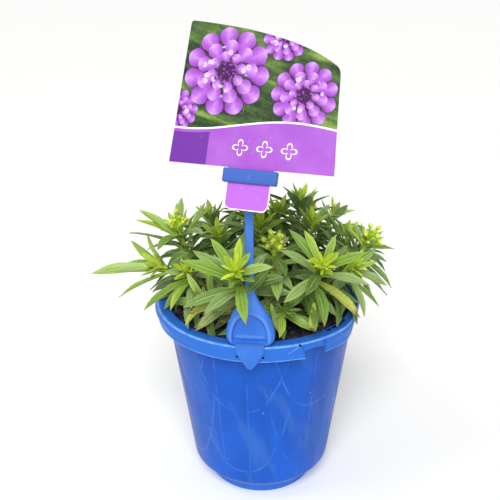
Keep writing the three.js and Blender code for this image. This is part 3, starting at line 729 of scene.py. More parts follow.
def leafGround(look, marks, across, youth):  # green by age, in streaks of painted fold shade and painted light, some leaves paler in part as a painted sheen, and lime at the foot
    _, along, age, grown, tint, mottle = marks
    patches = look.noise(look.place(), 0.12, 2.0)
    stops = [(at, foliage[age]) for at, age in foliage["ages"]]
    green = look.ramp(age + (tint - 0.5) * 0.4 + (patches - 0.5) * 0.3, stops)
    # some leaves are paler greyish-green, partly as a painted sheen
    other = (tint * 7.3).math("FRACT")
    green = look.blend(other.rise(0.5, 0.9) * age.rise(0.15, 0.4) * 0.6, green, foliage["pale"])
    streaks = look.noise(look.join(across * 3.2, along * 1.8, tint * 9.0), 1.0, 3.0, 0.6)
    # painted shade in fold streaks on grown leaves, and painted light on the paler streaks between them
    green = look.blend(streaks.rise(0.5, 0.75) * grown * 0.4, green, foliage["fold"])
    green = look.blend(streaks.rise(0.5, 0.25) * age.rise(0.1, 0.4) * 0.25, green, foliage["pale"])
    lime = (1 - along.rise(0.05, 0.42)) * (1 - age.rise(0.45, 0.85)) * 0.9 + (1 - age.rise(0.1, 0.4)) * youth
    green = look.blend(lime, green, foliage["young"])
    return look.blend(mottle.rise(0.35, 0.75) * 0.2, green, foliage["fresh"])


def leafVeins(look, green, marks, upper):  # side veins, the rib between two gutters of painted shade, and the underside
    reach, along, _, grown, tint, mottle = marks
    veins = look.noise(look.join(reach * 6.0 - along * 14.0, along * 34.0, tint * 9.0), 1.0, 1.0)
    veinMask = veins.rise(0.52, 0.6) * (1 - reach.rise(0.85, 1.0))
    green = look.blend(veinMask * 0.2, green, foliage["rib"])
    # painted shade in the gutters beside the rib
    gutter = reach.rise(0.08, 0.2) * (1 - reach.rise(0.25, 0.6)) * (1 - along.rise(0.75, 1.0))
    green = look.blend(gutter * (grown * 0.22 + 0.1), green, foliage["fold"])
    rib = (1 - reach.rise(0.03, 0.15)) * (1 - along.rise(0.7, 1.0))
    green = look.blend(rib * (0.4 + tint * 0.35), green, foliage["rib"])
    green = look.blend(reach.rise(0.88, 1.0) * 0.35, green, foliage["rib"])
    under = look.blend(rib * 0.6 + mottle * 0.2, foliage["underside"], foliage["rib"])
    height = mottle * 0.35 - rib * 0.6 + veins * 0.3 - gutter * 0.2
    return look.blend((1 - upper) * 0.75, green, under), height


def leafWear(look, green, marks, hurt, youth):  # yellowing, the bright heart of young leaves, and dry tips
    reach, along, age, grown, _, mottle = marks
    yellowing = hurt.rise(0.35, 0.9) * (0.4 + 0.6 * along) * mottle.rise(0.2, 0.6)
    green = look.blend(yellowing, green, foliage["yellow"])
    young = (1 - age.rise(0.05, 0.2)) * (1 - along.rise(0.3, 0.95) * 0.75) * (youth * 1.7)
    green = look.blend(young, green, foliage["core"])
    tipBurn = (along + mottle * 0.12 + reach * 0.03).rise(1.0, 1.09)
    green = look.blend(tipBurn * grown * 0.5, green, foliage["dry"])
    burn = (along + (mottle - 0.5) * 0.5 + hurt * 0.36).rise(1.1, 1.2) * hurt.rise(0.2, 0.5)
    return look.blend(burn, green, look.blend(mottle.rise(0.4, 0.6), foliage["dry"], foliage["burnt"]))


def leafLook(name, youth):
    look = Look(name)
    across, along, upper = look.mark("place")
    age, tint, hurt = look.mark("tone")
    mottle = look.noise(look.place(), 0.9, 3.0, 0.6)
    marks = abs(across), along, age, age.rise(0.05, 0.3), tint, mottle
    green = leafGround(look, marks, across, youth)
    green, height = leafVeins(look, green, marks, upper)
    green = leafWear(look, green, marks, hurt, youth)
    return look.finish(
        Base_Color=green, Roughness=0.36 + mottle * 0.2, Normal=look.bump(height, 0.0007, 0.7),
        Subsurface_Weight=0.1 + youth * 0.5, Subsurface_Scale=0.002, Subsurface_Radius=(0.55, 1.0, 0.2),
        Specular_IOR_Level=0.45)


def stemLook():
    look = Look("candytuftStem")
    height, _, _ = look.mark("tone")
    grain = look.noise(look.stretch(look.place(), (2.2, 2.2, 0.4)), 1.0, 4.0, 0.6)
    colour = look.ramp(height + (grain - 0.5) * 0.25, foliage["stem"])
    colour = look.blend(grain.rise(0.55, 0.75) * 0.35, colour, foliage["stemGrain"])
    return look.finish(Base_Color=colour, Roughness=0.6 + grain * 0.2, Normal=look.bump(grain, 0.0008, 0.7))


leafGreen = leafLook("candytuftLeaf", 0.0)
leafYoung = leafLook("candytuftYoungLeaf", 0.45)
stemSkin = stemLook()


# Inner leaves fill the space between the larger ones

filling = {
    "tries": 17, "moreBehind": 72, "behind": -10, "low": 0.32, "lowBehind": 0.6, "high": 0.97,
    "shortest": 16, "spread": 20, "longer": 3, "broader": 1.25, "lean": (50, 45), "arch": 0.14,
    "aboveHead": 3, "reach": 78,
    "shortenings": (1, 0.75), "bends": (0, 24, -22), "turns": (0, 30, -30, 60, -60),
}


def innerLeaves(number, stem):
    found = []
    least, more = filling["lean"]
    tries = filling["tries"] + (filling["moreBehind"] if stem.head[1] > filling["behind"] else 0)
    for i in range(tries):
        extra = i >= filling["tries"]  # these stay within the plant's outline
        low = filling["lowBehind" if extra else "low"]
        t = low + (filling["high"] - low) * draw(number, i, 21)
        axis, foot = stem.along(t), stem.facet(t)
        angle = i * turnOfLeaves + 6 * draw(number, i, 22)
        lean = math.radians(least + more * draw(number, i, 23))
        size = filling["shortest"] + filling["spread"] * draw(number, i, 24)
        size += filling["longer"] if extra else 0
        chord = chordAt(axis, angle, lean, size, 0.1 * draw(number, i, 25))
        x, y, z = foot + chord
        if extra and (z > stem.head[2] + filling["aboveHead"] or math.hypot(x, y) > filling["reach"]):
            continue
        owner = number + 200 + 100 * i
        leaf = seat(owner, foot, stemRadius(t) * 2.4, axis, chord, filling["arch"], filling)
        if leaf:
            age = 0.66 + 0.4 * draw(number, i, 26)
            found.append(leaf | {"point": foot, "half": leaf["half"] * filling["broader"], "age": age})
    return found


inner = [innerLeaves(number, stem) for number, stem in enumerate(stems)]
print("inner leaves:", sum(map(len, inner)))


# Bud heads

bud = {
    "fatness": 1.75, "long": 3.5, "rows": 10, "columns": 16, "narrower": 0.18, "seams": 4, "seamDeep": 0.13,
    "stalk": 0.5, "stalkRows": 5, "stalkSides": 6,
    "lean": (8, 52), "reach": 8.6, "longer": 1.04,
    "extra": 12, "extraLean": (6, 66), "extraReach": 6.6, "extraSize": (0.72, 0.22),  # the small ones between
    "stops": ((0.0, "#b4d030"), (0.5, "#d2e840"), (0.9, "#e2ec66"), (1.0, "#e0cc84")),
    "blush": "#b884a0", "seam": "#8aa832",
}


def addBudStalk(form, start, end, way, hint):
    rows = bud["stalkRows"]
    rings = [roundRing(start + (end - start) * i / rows, way, bud["stalk"] * (1 + 0.25 * i / rows),
                       bud["stalkSides"], hint) for i in range(rows + 1)]
    form.tube(np.array(rings), tone=(0.2, 0, 0), slot=2)


def addBud(form, start, way, length, size):  # a stalk and an egg whose petals meet in shallow seams
    way, hint = unit(way), np.array([0.8, 0.6, 0.0])
    tall = bud["long"] * size
    middle = start + way * (length - tall * 0.55)
    addBudStalk(form, start, middle - way * tall * 0.5, way, hint)
    u, v = aside(way, hint), np.cross(way, aside(way, hint))
    rings, tone = [], []
    for i in range(bud["rows"] + 1):
        k = i / bud["rows"]
        a = math.pi * (0.04 + 0.92 * k)
        radius = bud["fatness"] * size * math.sin(a) ** 0.85 * (1 - bud["narrower"] * k)
        at = middle + way * (-math.cos(a) * tall * 0.5)
        ring = []
        for j in range(bud["columns"]):
            b = j / bud["columns"] * 2 * math.pi
            crest = 0.5 + 0.5 * math.cos(bud["seams"] * b)
            seam = 1 - bud["seamDeep"] * crest ** 3 * math.sin(a)
            ring.append(at + radius * seam * (u * math.cos(b) + v * math.sin(b)))
            tone.append((k, chance.random() * 0.2, crest))
        rings.append(ring)
    form.tube(np.array(rings), tone=tone, slot=2)


def budWays(number, count, stem):  # where each bud starts, its way, its length and its size
    u = aside(stem.axis, np.array([0.0, 1.0, 0.2]))
    v = np.cross(stem.axis, u)
    upright, spread = bud["lean"]
    for i in range(count):
        share = i / (count - 1)
        angle = i * turnOfLeaves + number
        lean = math.radians(upright + spread * math.sqrt(share))
        out = u * math.cos(angle) + v * math.sin(angle)
        start = stem.head + stem.axis * (grow["gap"] + 3.2 + 5 * (1 - share)) + out * 0.35
        length = (bud["reach"] - share + draw(number, i, 8)) * bud["longer"]
        yield start, stem.axis * math.cos(lean) + out * math.sin(lean), length, 1.0
    upright, spread = bud["extraLean"]
    least, more = bud["extraSize"]
    for i in range(bud["extra"]):
        share = (i + 0.5) / bud["extra"]
        angle = i * turnOfLeaves * 1.7 + number + 1.1
        lean = math.radians(upright + spread * math.sqrt(share))
        out = u * math.cos(angle) + v * math.sin(angle)
        start = stem.head + stem.axis * (6.0 - 2.5 * share)
        length = bud["extraReach"] - 0.6 * share + 1.6 * draw(number, i, 31)
        way = stem.axis * math.cos(lean) + out * math.sin(lean)
        yield start, way, length, least + more * draw(number, i, 32)


def budLook():
    look = Look("candytuftBud")
    height, tint, seam = look.mark("tone")
    mottle = look.noise(look.place(), 1.6, 3.0)
    colour = look.ramp(height + (mottle - 0.5) * 0.3, bud["stops"])
    colour = look.blend(height.rise(0.9, 1.0) * tint.rise(0.05, 0.2) * 0.6, colour, bud["blush"])
    colour = look.blend(seam * (1 - height) * 0.5, colour, bud["seam"])
    return look.finish(
        Base_Color=colour, Roughness=0.45 + mottle * 0.15, Normal=look.bump(mottle - seam * 0.6, 0.0005, 0.6),
        Subsurface_Weight=0.12, Subsurface_Scale=0.001)


budSkin = budLook()


# Leaves past their time, each with its base, knee and tip, half width, age and damage, and dry stalks

withered = {
    "front_left_low": [
        ((-25, -46, 144), (-19, -49, 149.5), (-10.4, -50, 149.5), 2.6, 0.3, 1.0),
        ((-23, -47, 140), (-20, -50, 143.5), (-16.4, -54, 144), 1.1, 0.6, 0.8)],
    "front_right_low": [
        ((11, -50, 156.5), (13.5, -55, 151), (16.7, -57.5, 140.2), 2.1, 0.5, 0.55)],
    "right_front": [
        ((37.5, -50, 158), (37.2, -53, 150), (36, -53.5, 140.8), 2.5, 0.25, 0.75)],
}
crossing = {  # a dark leaf that passes in front of the label holder's stem
    "middle_bud": [((10, -40, 177), (6, -71, 180.8), (-2.2, -74.2, 174.2), 3.3, 0.85, 0.0)],
}
stalks = {
    "left_front": [
        ((-54, -19, 152), (-47, -23, 159), (-41, -20, 162.5)),
        ((-48, -19, 163), (-43, -21, 158), (-39, -18, 150))],
}
petals = {  # the first of one bud head, each with its foot and its way
    "middle_bud": [((14, -37.5, 178.6), (3.4, -1.6, 0.8)), ((14.4, -37.2, 178), (1.2, -3.2, -1.6))],
}
petal = {"half": 1.3, "pale": "#e3c6ee", "violet": "#c79ad8", "vein": "#b77fce"}


def addLooseLeaf(form, base, knee, tip, half, age, hurt):
    leaf = {"point": np.array(base, float), "knee": np.array(knee, float), "tip": np.array(tip, float)}
    leaf |= {"axis": unit(np.array([0.2, -0.6, 1.0])), "half": half, "age": age}
    addBlade(form, leaf, hurt=hurt)


def addStalk(form, points):
    at = curve(*points, 14)
    along = unit(np.gradient(at, axis=0))
    side = np.array([0.3, 1.0, 0.2])
    rings = [roundRing(p, way, 0.7, 8, side) for p, way in zip(at, along)]
    form.tube(np.array(rings), tone=(0.15, 0, 0), slot=1)


def addPetal(form, stem, start, way):
    leaf = leafOf(np.array(start), 0.1, stem.axis, np.array(way), 0.25)
    addBlade(form, leaf | {"half": petal["half"], "age": 0}, slot=3)


def petalLook():
    look = Look("candytuftPetal")
    across, along, _ = look.mark("place")
    colour = look.blend(along.rise(0.1, 0.8), petal["violet"], petal["pale"])
    veins = look.noise(look.join(across * 8.0, along * 2.0), 1.0, 2.0)
    colour = look.blend(veins.rise(0.5, 0.7) * 0.4, colour, petal["vein"])
    return look.finish(Base_Color=colour, Roughness=0.5 + veins * 0.1, Normal=look.bump(veins, 0.0003, 0.4))


petalSkin = petalLook()


# One piece for each stem with its leaves, and one for each tip or bud head

damage = {"spared": 5, "from": 0.62, "growth": 1.8}  # the upper leaves are sound, and most of the others too
rosette = {
    "leaves": 14, "leavesWithBuds": 4, "core": 5.3, "coreWithBuds": 7.4, "lean": 50,
    "longest": 11.5, "shorter": 5.5, "half": 1.05, "low": 0.9, "climb": 4.2,
}
dullTips = {"front_left_low": 0.55, "front_right_low": 0.55}


def makeShoot(number, name, stem):
    form = Form()
    addStem(form, stem)
    for i, leaf in enumerate(greens[number]):
        hurt = max(0.0, draw(number, i, 41) - damage["from"]) * damage["growth"]
        addBlade(form, leaf, leaf["toothed"], hurt if i >= damage["spared"] else 0.0)
    for leaf in inner[number]:
        addBlade(form, leaf, few=True)
    for values in withered.get(name, []) + crossing.get(name, []):
        addLooseLeaf(form, *values)
    for points in stalks.get(name, []):
        addStalk(form, points)
    form.piece(f"leaves_{name}", [leafGreen, stemSkin], "leaf_green", [f"shoot_{name}"], sharp=50)


def addCore(form, stem, height):  # the end of the stem inside the young leaves
    rings = []
    for k in np.linspace(0, 1, 9):
        radius = 0.15 + (grow["stemTip"] * 0.85 - 0.15) * math.cos(k * math.pi / 2) ** 0.6
        centre = stem.head + stem.axis * (grow["gap"] + height * k)
        rings.append(roundRing(centre, stem.axis, radius, 10, stem.hint))
    form.tube(np.array(rings), tone=(0.95, 0, 0), slot=1)


def addRosette(form, number, stem, count, dull):
    for i in range(count):
        share = i / (rosette["leaves"] - 1)
        lean = math.radians(rosette["lean"] * (1 - share) + 6 + 12 * draw(number, i, 51))
        size = rosette["longest"] - rosette["shorter"] * share + 2 * draw(number, i, 52)
        chord = chordAt(stem.axis, i * turnOfLeaves + 4 + number, lean, size, 0)
        foot = stem.head + stem.axis * (rosette["low"] + rosette["climb"] * share)
        leaf = leafOf(foot, 1, stem.axis, chord, -0.1 + 0.2 * (1 - share))
        leaf["half"] = rosette["half"] * (1 - 0.4 * share)
        leaf["age"] = 0.02 + 0.06 * draw(number, i, 53) + dull
        addBlade(form, leaf)


def makeHead(number, name, buds, stem):  # a young tip, or a bud head with fewer young leaves
    form = Form()
    dull = dullTips.get(name, 0)
    for leaf in tips[number]:
        addBlade(form, leaf | {"age": leaf["age"] + dull})
    addCore(form, stem, rosette["coreWithBuds" if buds else "core"])
    addRosette(form, number, stem, rosette["leavesWithBuds" if buds else "leaves"], dull)
    if not buds:
        form.piece(f"young_tip_{name}", [leafYoung, stemSkin], "tip_lime", [f"tip_{name}"], sharp=50)
        return
    for start, way, length, size in budWays(number, buds, stem):
        addBud(form, start, way, length, size)
    for start, way in petals.get(name, []):
        addPetal(form, stem, start, way)
    skins = [leafYoung, stemSkin, budSkin, petalSkin]
    form.piece(f"bud_head_{name}", skins, "bud_green", [f"buds_{name}"], sharp=50)


for number, (shoot, stem) in enumerate(zip(shoots, stems)):
    makeShoot(number, shoot[0], stem)
    makeHead(number, shoot[0], shoot[5], stem)
print("plant built")


# Pot: turned on many sides, with a torn skirt, slots in the lip and drain holes

pot = {
    "columns": 216, "wallThick": 1.6, "floorThick": 2, "footRadius": 38.5,
    "skirtDrop": 10.7, "skirtThick": 1.3,
    "tornFrom": 26.7, "tornTo": 40.5, "tornLeft": 5.8, "tornSag": 1.1, "tornInset": 0.95, "tornLean": 2.4,
    "flare": 1.1, "flareReach": 2.6,
    "slots": 4, "slotsFrom": 44.5, "slotsTo": 63, "slotRadius": 64.4, "slotLength": 4.6, "slotWidth": 2.5,
    "slotDeep": 1.5, "drainHoles": 6, "drainRadius": 4, "drainCircle": 27,
    "pressedFrom": 54, "pressedTo": 130, "pressedTop": 2.6, "pressedFoot": 4.2,  # the rim isn't quite round
    "bulge": 1.7, "bulgeAt": -85, "bulgeReach": 38,
}


def innerRadius(z):
    return wallRadius(z) - pot["wallThick"]


def outsideProfile():  # radius and height, from the middle of the foot up to the lip's underside
    top, skirtIn = potSize["height"], potSize["lipOuter"] - pot["skirtThick"]
    foot, wall, chamfer = pot["footRadius"], potSize["wallFoot"], potSize["chamferTop"]
    points = [
        (0.01, 0), (22.4, 0), (31.6, 0), (foot - 1.4, 0), (foot - 0.3, 0.2), (foot + 0.1, 0.8),
        (foot + 0.6, 3), (foot + 0.9, 4.9), (foot + 1.2, 5.6), (foot + 2, 6.5), (foot + 5, 9.8),
        (wall - 2, 14), (wall - 0.9, 15.3), (wall - 0.25, 16.2), (wall, chamfer)]
    points += [(wallRadius(z), z) for z in np.linspace(chamfer + 3, top - 4.2, 30)]
    return points + [
        (wallRadius(top - 2.4) + 0.5, top - 2.4), (wallRadius(top - 2) + 1.4, top - 1.8),
        (skirtIn - 0.6, top - 1.8), (skirtIn, top - 2.4)]


def skirtProfile():  # down its inside and up its outside
    top, out, drop = potSize["height"], potSize["lipOuter"], pot["skirtDrop"]
    skirtIn = out - pot["skirtThick"]
    points = [(skirtIn + 0.02 * i, top - 2.4 - (drop - 2.8) * i / 5) for i in range(1, 6)]
    return points + [
        (skirtIn + 0.3, top - drop), (out + 0.05, top - drop - 0.12), (out + 0.38, top - drop + 0.25),
        (out + 0.3, top - drop + 0.9), (out + 0.1, top - drop + 1.9), (out + 0.1, top - 7.6),
        (out + 0.3, top - 6.2), (out + 0.6, top - 4.8), (out + 0.75, top - 3.6), (out + 0.75, top - 2.6)]


def lipProfile():  # over the rolled lip to the inner wall
    top, out, lipIn = potSize["height"], potSize["lipOuter"], potSize["lipInner"]
    return [
        (out + 0.6, top - 1.8), (out + 0.3, top - 1.1), (out - 0.1, top - 0.45), (out - 0.7, top - 0.05),
        (out - 1.5, top + 0.12), (out - 2.4, top + 0.05), (out - 3.6, top - 0.1), (65.8, top - 0.12),
        (65.6, top - 0.1), (63.2, top - 0.15), (63.05, top - 0.2), (62.7, top - 0.35), (62.25, top - 0.7),
        (lipIn, top - 1.3), (lipIn, top - 2.2), (61.9, top - 3), (innerRadius(top - 3.8), top - 3.8)]


def insideProfile():  # down the inner wall to the middle of the floor
    foot, floor = pot["footRadius"], pot["floorThick"]
    heights = np.linspace(potSize["height"] - 7, potSize["chamferTop"] + 0.4, 12)
    return [(innerRadius(z), z) for z in heights] + [
        (foot - 0.5, 6.2), (foot - 1.2, floor), (31.6, floor), (22.4, floor), (0.01, floor)]


halfSlot = math.degrees(pot["slotLength"] / 2 / pot["slotRadius"])


def slotMiddles():
    pitch = (pot["slotsTo"] - pot["slotsFrom"]) / pot["slots"]
    return [pot["slotsFrom"] + pitch * (i + 0.5) for i in range(pot["slots"])]


def potAngles():  # even steps, and more of them where a torn edge or a slot needs them
    angles = list(np.arange(pot["columns"]) / pot["columns"] * 360)
    for edge in (pot["tornFrom"], pot["tornTo"]):
        angles += [edge - 0.35, edge - 0.07, edge + 0.07, edge + 0.35]
    for middle in slotMiddles():
        for side in (-1, 1):
            angles += [middle + side * (halfSlot + 0.04), middle + side * (halfSlot - 0.04)]
    return np.array(sorted(set(np.round(angles, 4))))


def tearSkirt(r, z, a, hung, depth):  # a stretch is broken off, and what hangs to its left leans and flares
    top, torn = potSize["height"], (a > pot["tornFrom"]) & (a < pot["tornTo"])
    share = (a - pot["tornFrom"]) / (pot["tornTo"] - pot["tornFrom"])
    left = pot["tornLeft"] + pot["tornSag"] * (1 - np.sin(math.pi * np.clip(share, 0, 1)) ** 0.8)
    shallow = top - (top - z) * np.clip(left / pot["skirtDrop"], 0, 1)
    deep = hung & torn & (top - z > 1.6)
    z = np.where(deep, shallow, z)
    r = np.where(deep, r - pot["tornInset"], r)
    near = np.exp(-(np.clip(pot["tornFrom"] - a, 0, 90) / pot["flareReach"]) ** 2) * (a <= pot["tornFrom"])
    r = r + hung * pot["flare"] * near * depth ** 2
    window = np.exp(-((a - pot["tornFrom"]) / 3.0) ** 2)
    return r, z, a + hung * window * pot["tornLean"] * (depth - 0.5)


def sinkSlots(z, profile, angles):
    isSlot = np.zeros(len(angles), bool)
    for middle in slotMiddles():
        isSlot |= np.abs(angles - middle) < halfSlot
    onLip = profile[:, 1] > potSize["height"] - 0.5
    pit = (np.abs(profile[:, 0] - pot["slotRadius"]) < pot["slotWidth"] / 2 + 0.02) & onLip
    return np.where(pit[:, None] & isSlot[None], z - pot["slotDeep"], z)


def pressRim(r, z, a, hung, rim, depth):  # the right side is pressed in, the left side bulges out
    outer = np.clip((r - potSize["lipInner"]) / 8, 0, 1)
    signed = (a + 180) % 360 - 180
    pressed = np.clip((signed - pot["pressedFrom"]) / 22, 0, 1)
    pressed = pressed * np.clip((pot["pressedTo"] - signed) / 45, 0, 1)
    pressed = pressed * pressed * (3 - 2 * pressed)
    r = r - rim * outer * pressed * (pot["pressedTop"] + (pot["pressedFoot"] - pot["pressedTop"]) * depth)
    bulge = np.exp(-((signed - pot["bulgeAt"]) / pot["bulgeReach"]) ** 2)
    bulge = bulge * np.exp(-((z - potSize["height"] + 4) / 3.2) ** 2)
    return r + hung * outer * pot["bulge"] * bulge


def potCorners():
    outside, skirt = outsideProfile(), skirtProfile()
    profile = np.array(outside + skirt + lipProfile() + insideProfile(), float)
    angles = potAngles()
    hung = np.zeros((len(profile), 1), bool)
    hung[len(outside) - 2:len(outside) + len(skirt) + 2] = True
    rim = hung | (profile[:, 1:] > potSize["height"] - 3)
    r = np.repeat(profile[:, :1], len(angles), 1)
    z = np.repeat(profile[:, 1:], len(angles), 1)
    a = np.repeat(angles[None], len(profile), 0)
    depth = np.clip((potSize["height"] - z) / pot["skirtDrop"], 0, 1)
    r, z, a = tearSkirt(r, z, a, hung, depth)
    z = sinkSlots(z, profile, angles)
    r = pressRim(r, z, a, hung, rim, depth)
    turn = np.radians(a)
    return np.stack([r * np.sin(turn), -r * np.cos(turn), z], -1)


def cutOut(piece, cutter, name):
    tool = bpy.data.objects.new(name, cutter.mesh(name))
    bpy.context.scene.collection.objects.link(tool)
    modifier = piece.modifiers.new(name, "BOOLEAN")
    modifier.operation = "DIFFERENCE"
    modifier.solver = "EXACT"
    modifier.object = tool
    graph = bpy.context.evaluated_depsgraph_get()
    result = piece.evaluated_get(graph)
    cut = bpy.data.meshes.new_from_object(result, preserve_all_data_layers=True, depsgraph=graph)
    piece.modifiers.clear()
    piece.data = cut
    bpy.data.objects.remove(tool)


def makePot(material):
    form = Form()
    form.tube(potCorners())
    made = form.piece("nursery_pot", [material], "pot_blue", ["pot"], sharp=34)
    for i in range(pot["drainHoles"]):
        turn = i / pot["drainHoles"] * 2 * math.pi
        spot = np.array([pot["drainCircle"] * math.sin(turn), -pot["drainCircle"] * math.cos(turn), 0])
        hint = np.array([1.0, 0, 0])
        cutter = Form()
        cutter.tube(np.array([roundRing(spot + up * h, up, pot["drainRadius"], 28, hint) for h in (-3, 6)]))
        cutOut(made, cutter, f"drain{i}")


plastic = {
    # under is painted shade, shine a painted highlight on the skirt's edges and the pale of the crack, dark
    # painted shade in slots and openings, and rim also paints light on the foot
    "blue": "#1150b4", "bright": "#145ac4", "deep": "#1c479e", "rim": "#2e6fcd", "line": "#4a7ed8",
    "haze": "#446fb6", "scuff": "#86a8e8", "shine": "#86aef0", "under": "#1b4796", "dark": "#0b1533",
    "dirt": "#9a9384",
    "arcs": (81, 27), "arcPitch": 51.4, "arcTurn": -8, "arcBend": 0.0016,
    "seams": (-3, 40, -23, 58, 96, 151, 205, 262),
    "crack": (23.2, 131.2, 30.7, 135.8), "notches": (8.0, 129.6, 1.0),  # along the rim and up, in mm
}


def flowLines(angle, z, sway):  # where the streams of melt met in the mould: hanging arcs and uprights
    lines, pitch = None, plastic["arcPitch"]
    for height in plastic["arcs"]:
        local = (angle - plastic["arcTurn"] + sway * 0.5).math("WRAP", pitch / 2, -pitch / 2)
        for shift in (0.0, pitch, -pitch):
            d = abs(local - shift)
            slope = d * d * (3 * plastic["arcBend"])
            off = abs(z - height - sway - d * d * d * plastic["arcBend"]) / (slope * slope + 1.0) ** 0.5
            line = (1 - off.rise(0.25, 0.8)) * (1 - d.rise(30, 38))
            lines = line if lines is None else lines.math("MAXIMUM", line)
    for seam in plastic["seams"]:
        off = abs(angle - seam - sway * 0.35)
        lines = lines.math("MAXIMUM", (1 - off.rise(0.15, 0.6)) * 0.9)
    return lines


def rimMarks(x, y, z, angle):  # a crack that runs to the tear, a dark spot at its end, and painted shade in small openings beside the tab
    x0, z0, x1, z1 = plastic["crack"]
    length = math.hypot(x1 - x0, z1 - z0)
    cx, cz = (x1 - x0) / length, (z1 - z0) / length
    alongRim = angle * (math.radians(1) * potSize["lipOuter"])
    off = abs((alongRim - x0) * cz - (z - z0) * cx)
    along = (alongRim - x0) * cx + (z - z0) * cz
    crack = (1 - off.rise(0.1, 0.35)) * (along > 0.0) * (along < length)
    spot = ((alongRim - x1) ** 2.0 + (z - z1) ** 2.0) ** 0.5
    side, height, size = plastic["notches"]
    notch = ((abs(x) - side) ** 2.0 + (z - height) ** 2.0) ** 0.5
    # the spots beside the tab are painted shade of small openings in the skirt
    dark = (1 - spot.rise(0.6, 1.1)).math("MAXIMUM", (1 - notch.rise(size * 0.7, size)) * (y < 0.0))
    return crack, dark


def paintedEdgeHighlights(look, angle, z, radius):  # painted highlights along the skirt's two edges, broken up in patches
    top, foot = potSize["height"], potSize["height"] - pot["skirtDrop"]
    upper = z.rise(top - 1.5, top - 0.9) * (1 - z.rise(top - 0.4, top - 0.1))
    lower = z.rise(foot - 0.6, foot - 0.1) * (1 - z.rise(foot + 0.3, foot + 0.8))
    patchy = look.noise(look.join(angle * 0.16, 0.0, 5.0), 1.0, 3.0).rise(0.3, 0.6) * 0.5 + 0.3
    return (upper + lower) * patchy * (radius > 66.0)


def plasticGround(look, spot, angle, z, hung):  # the blues of wall and rim, with painted light lifting the foot
    clouds = look.noise(spot, 0.03, 3.0)
    colour = look.blend(clouds.rise(0.3, 0.7), plastic["blue"], plastic["bright"])
    sides = look.noise(look.join(angle * 0.045, z * 0.004, 1.0), 1.0, 2.0)
    colour = look.blend(sides.rise(0.45, 0.65) * 0.6, colour, plastic["deep"])
    # painted light on the foot, which lies in the shade of the chamfer above it
    colour = look.blend(z.rise(17, 4) * 0.8, colour, plastic["rim"])
    return look.blend(hung * 0.8, colour, plastic["rim"])


def bluePlastic():
    look = Look("bluePlastic")
    spot = look.place()
    x, y, z = spot.parts()
    fine, grain = look.noise(spot, 0.7, 4.0, 0.6), look.noise(spot, 3.2, 2.0, 0.6)
    angle = x.math("ARCTAN2", y * -1.0) * (180 / math.pi)
    radius = (x * x + y * y) ** 0.5
    sway = (look.noise(look.join(angle * 0.02, z * 0.03), 1.0, 3.0) - 0.5) * 5.0
    hung = (radius > 65.6).math("MAXIMUM", z > 133.6) * z.rise(125.5, 126.0)
    wall = 1 - hung
    colour = plasticGround(look, spot, angle, z, hung)
    # painted shade on the wall under the torn skirt
    shade = z.rise(125, 129) * wall * (radius > 63.0) * (angle > 20.0) * (angle < 46.0)
    colour = look.blend(shade * 0.7, colour, plastic["under"])
    broken = look.noise(look.stretch(spot, (1.0, 1.0, 0.6)), 0.09, 4.0, 0.6).rise(0.38, 0.6)
    lines = flowLines(angle, z, sway) * wall * broken
    haze = look.noise(look.join(angle * 0.05 + z * 0.016, z * 0.014, 3.0), 1.0, 4.0, 0.5).rise(0.5, 0.6)
    colour = look.blend(haze * wall * 0.35, colour, plastic["haze"])
    colour = look.blend(lines * 0.5, colour, plastic["line"])
    scuffs = look.noise(look.join(angle * 0.5, z * 2.6, 7.0), 1.0, 4.0, 0.7).rise(0.68, 0.75)
    colour = look.blend(scuffs * 0.25, colour, plastic["scuff"])
    # painted highlight along the upper and lower edges of the skirt
    colour = look.blend(paintedEdgeHighlights(look, angle, z, radius), colour, plastic["shine"])
    crack, dark = rimMarks(x, y, z, angle)
    outside = (radius > 68.0) * z.rise(126, 126.5)
    colour = look.blend(crack * outside * 0.7, colour, plastic["shine"])
    top = potSize["height"]
    # painted shade inside the tag slots in the lip, and in the small openings beside the tab
    slots = (radius > 63.1) * (radius < 65.7) * (z < top - 0.5) * z.rise(top - 2, top - 1.8) * (angle > 44.0)
    colour = look.blend(dark * outside + slots * 0.9, colour, plastic["dark"])
    dirt = (1 - look.cells(spot, 0.085).rise(0.04, 0.065)) * fine.rise(0.5, 0.55)
    colour = look.blend(dirt, colour, plastic["dirt"])
    return look.finish(
        Base_Color=colour, Roughness=0.28 + fine * 0.1 + haze * 0.15 + dirt * 0.4,
        Normal=look.bump(grain * 0.12 + lines * 0.35 + fine * 0.2, 0.0005, 0.5), Specular_IOR_Level=0.14)


makePot(bluePlastic())
print("pot built")


# Label holder: a moulded grip with a dished thumb rest, a tab over the skirt, a stem and a flat sleeve

grip = {
    "back": -65, "front": -71.2, "shoulder": -68.9, "columns": 132, "centre": 148.5, "base": 137.3,
    "dishTop": 158.8, "dishFoot": 139.9, "dishHalf": 10.5, "dishDeep": 2.8,
    "crease": 143.3, "creaseHigh": 1.1,
    "slope": (0.1, 0.22, 0.36, 0.5, 0.64, 0.76, 0.86, 0.94),
    "dish": ((1.045, 0), (1.02, 0.1), (0.99, 0.42), (0.96, 0.74), (0.925, 0.92), (0.88, 1), (0.8, 1),
             (0.68, 1), (0.54, 1), (0.4, 1), (0.26, 1), (0.12, 1), (0.02, 1)),  # size, share of the depth
    "neckFrom": 156, "neckTop": 173, "neckShare": 0.44,
    "tabBack": -70.5, "tabFront": -72.5, "tabBevel": 0.45,
    "legHalf": 5, "legFoot": 120, "legBack": -59.1, "legFront": -60.3, "legReach": -65.6, "legTop": 4,
    "stemWidth": 4.9, "stemThick": 3.2, "stemY": -66, "stemFoot": 168, "stemTop": 240, "stemFlare": 0.25,
    "stemRows": 40, "stemColumns": 24, "stemSquare": 0.72,  # a smaller power gives squarer sides
    "sleeve": (31, 4.4, 7.6), "slot": (27.6, 1.3),
}


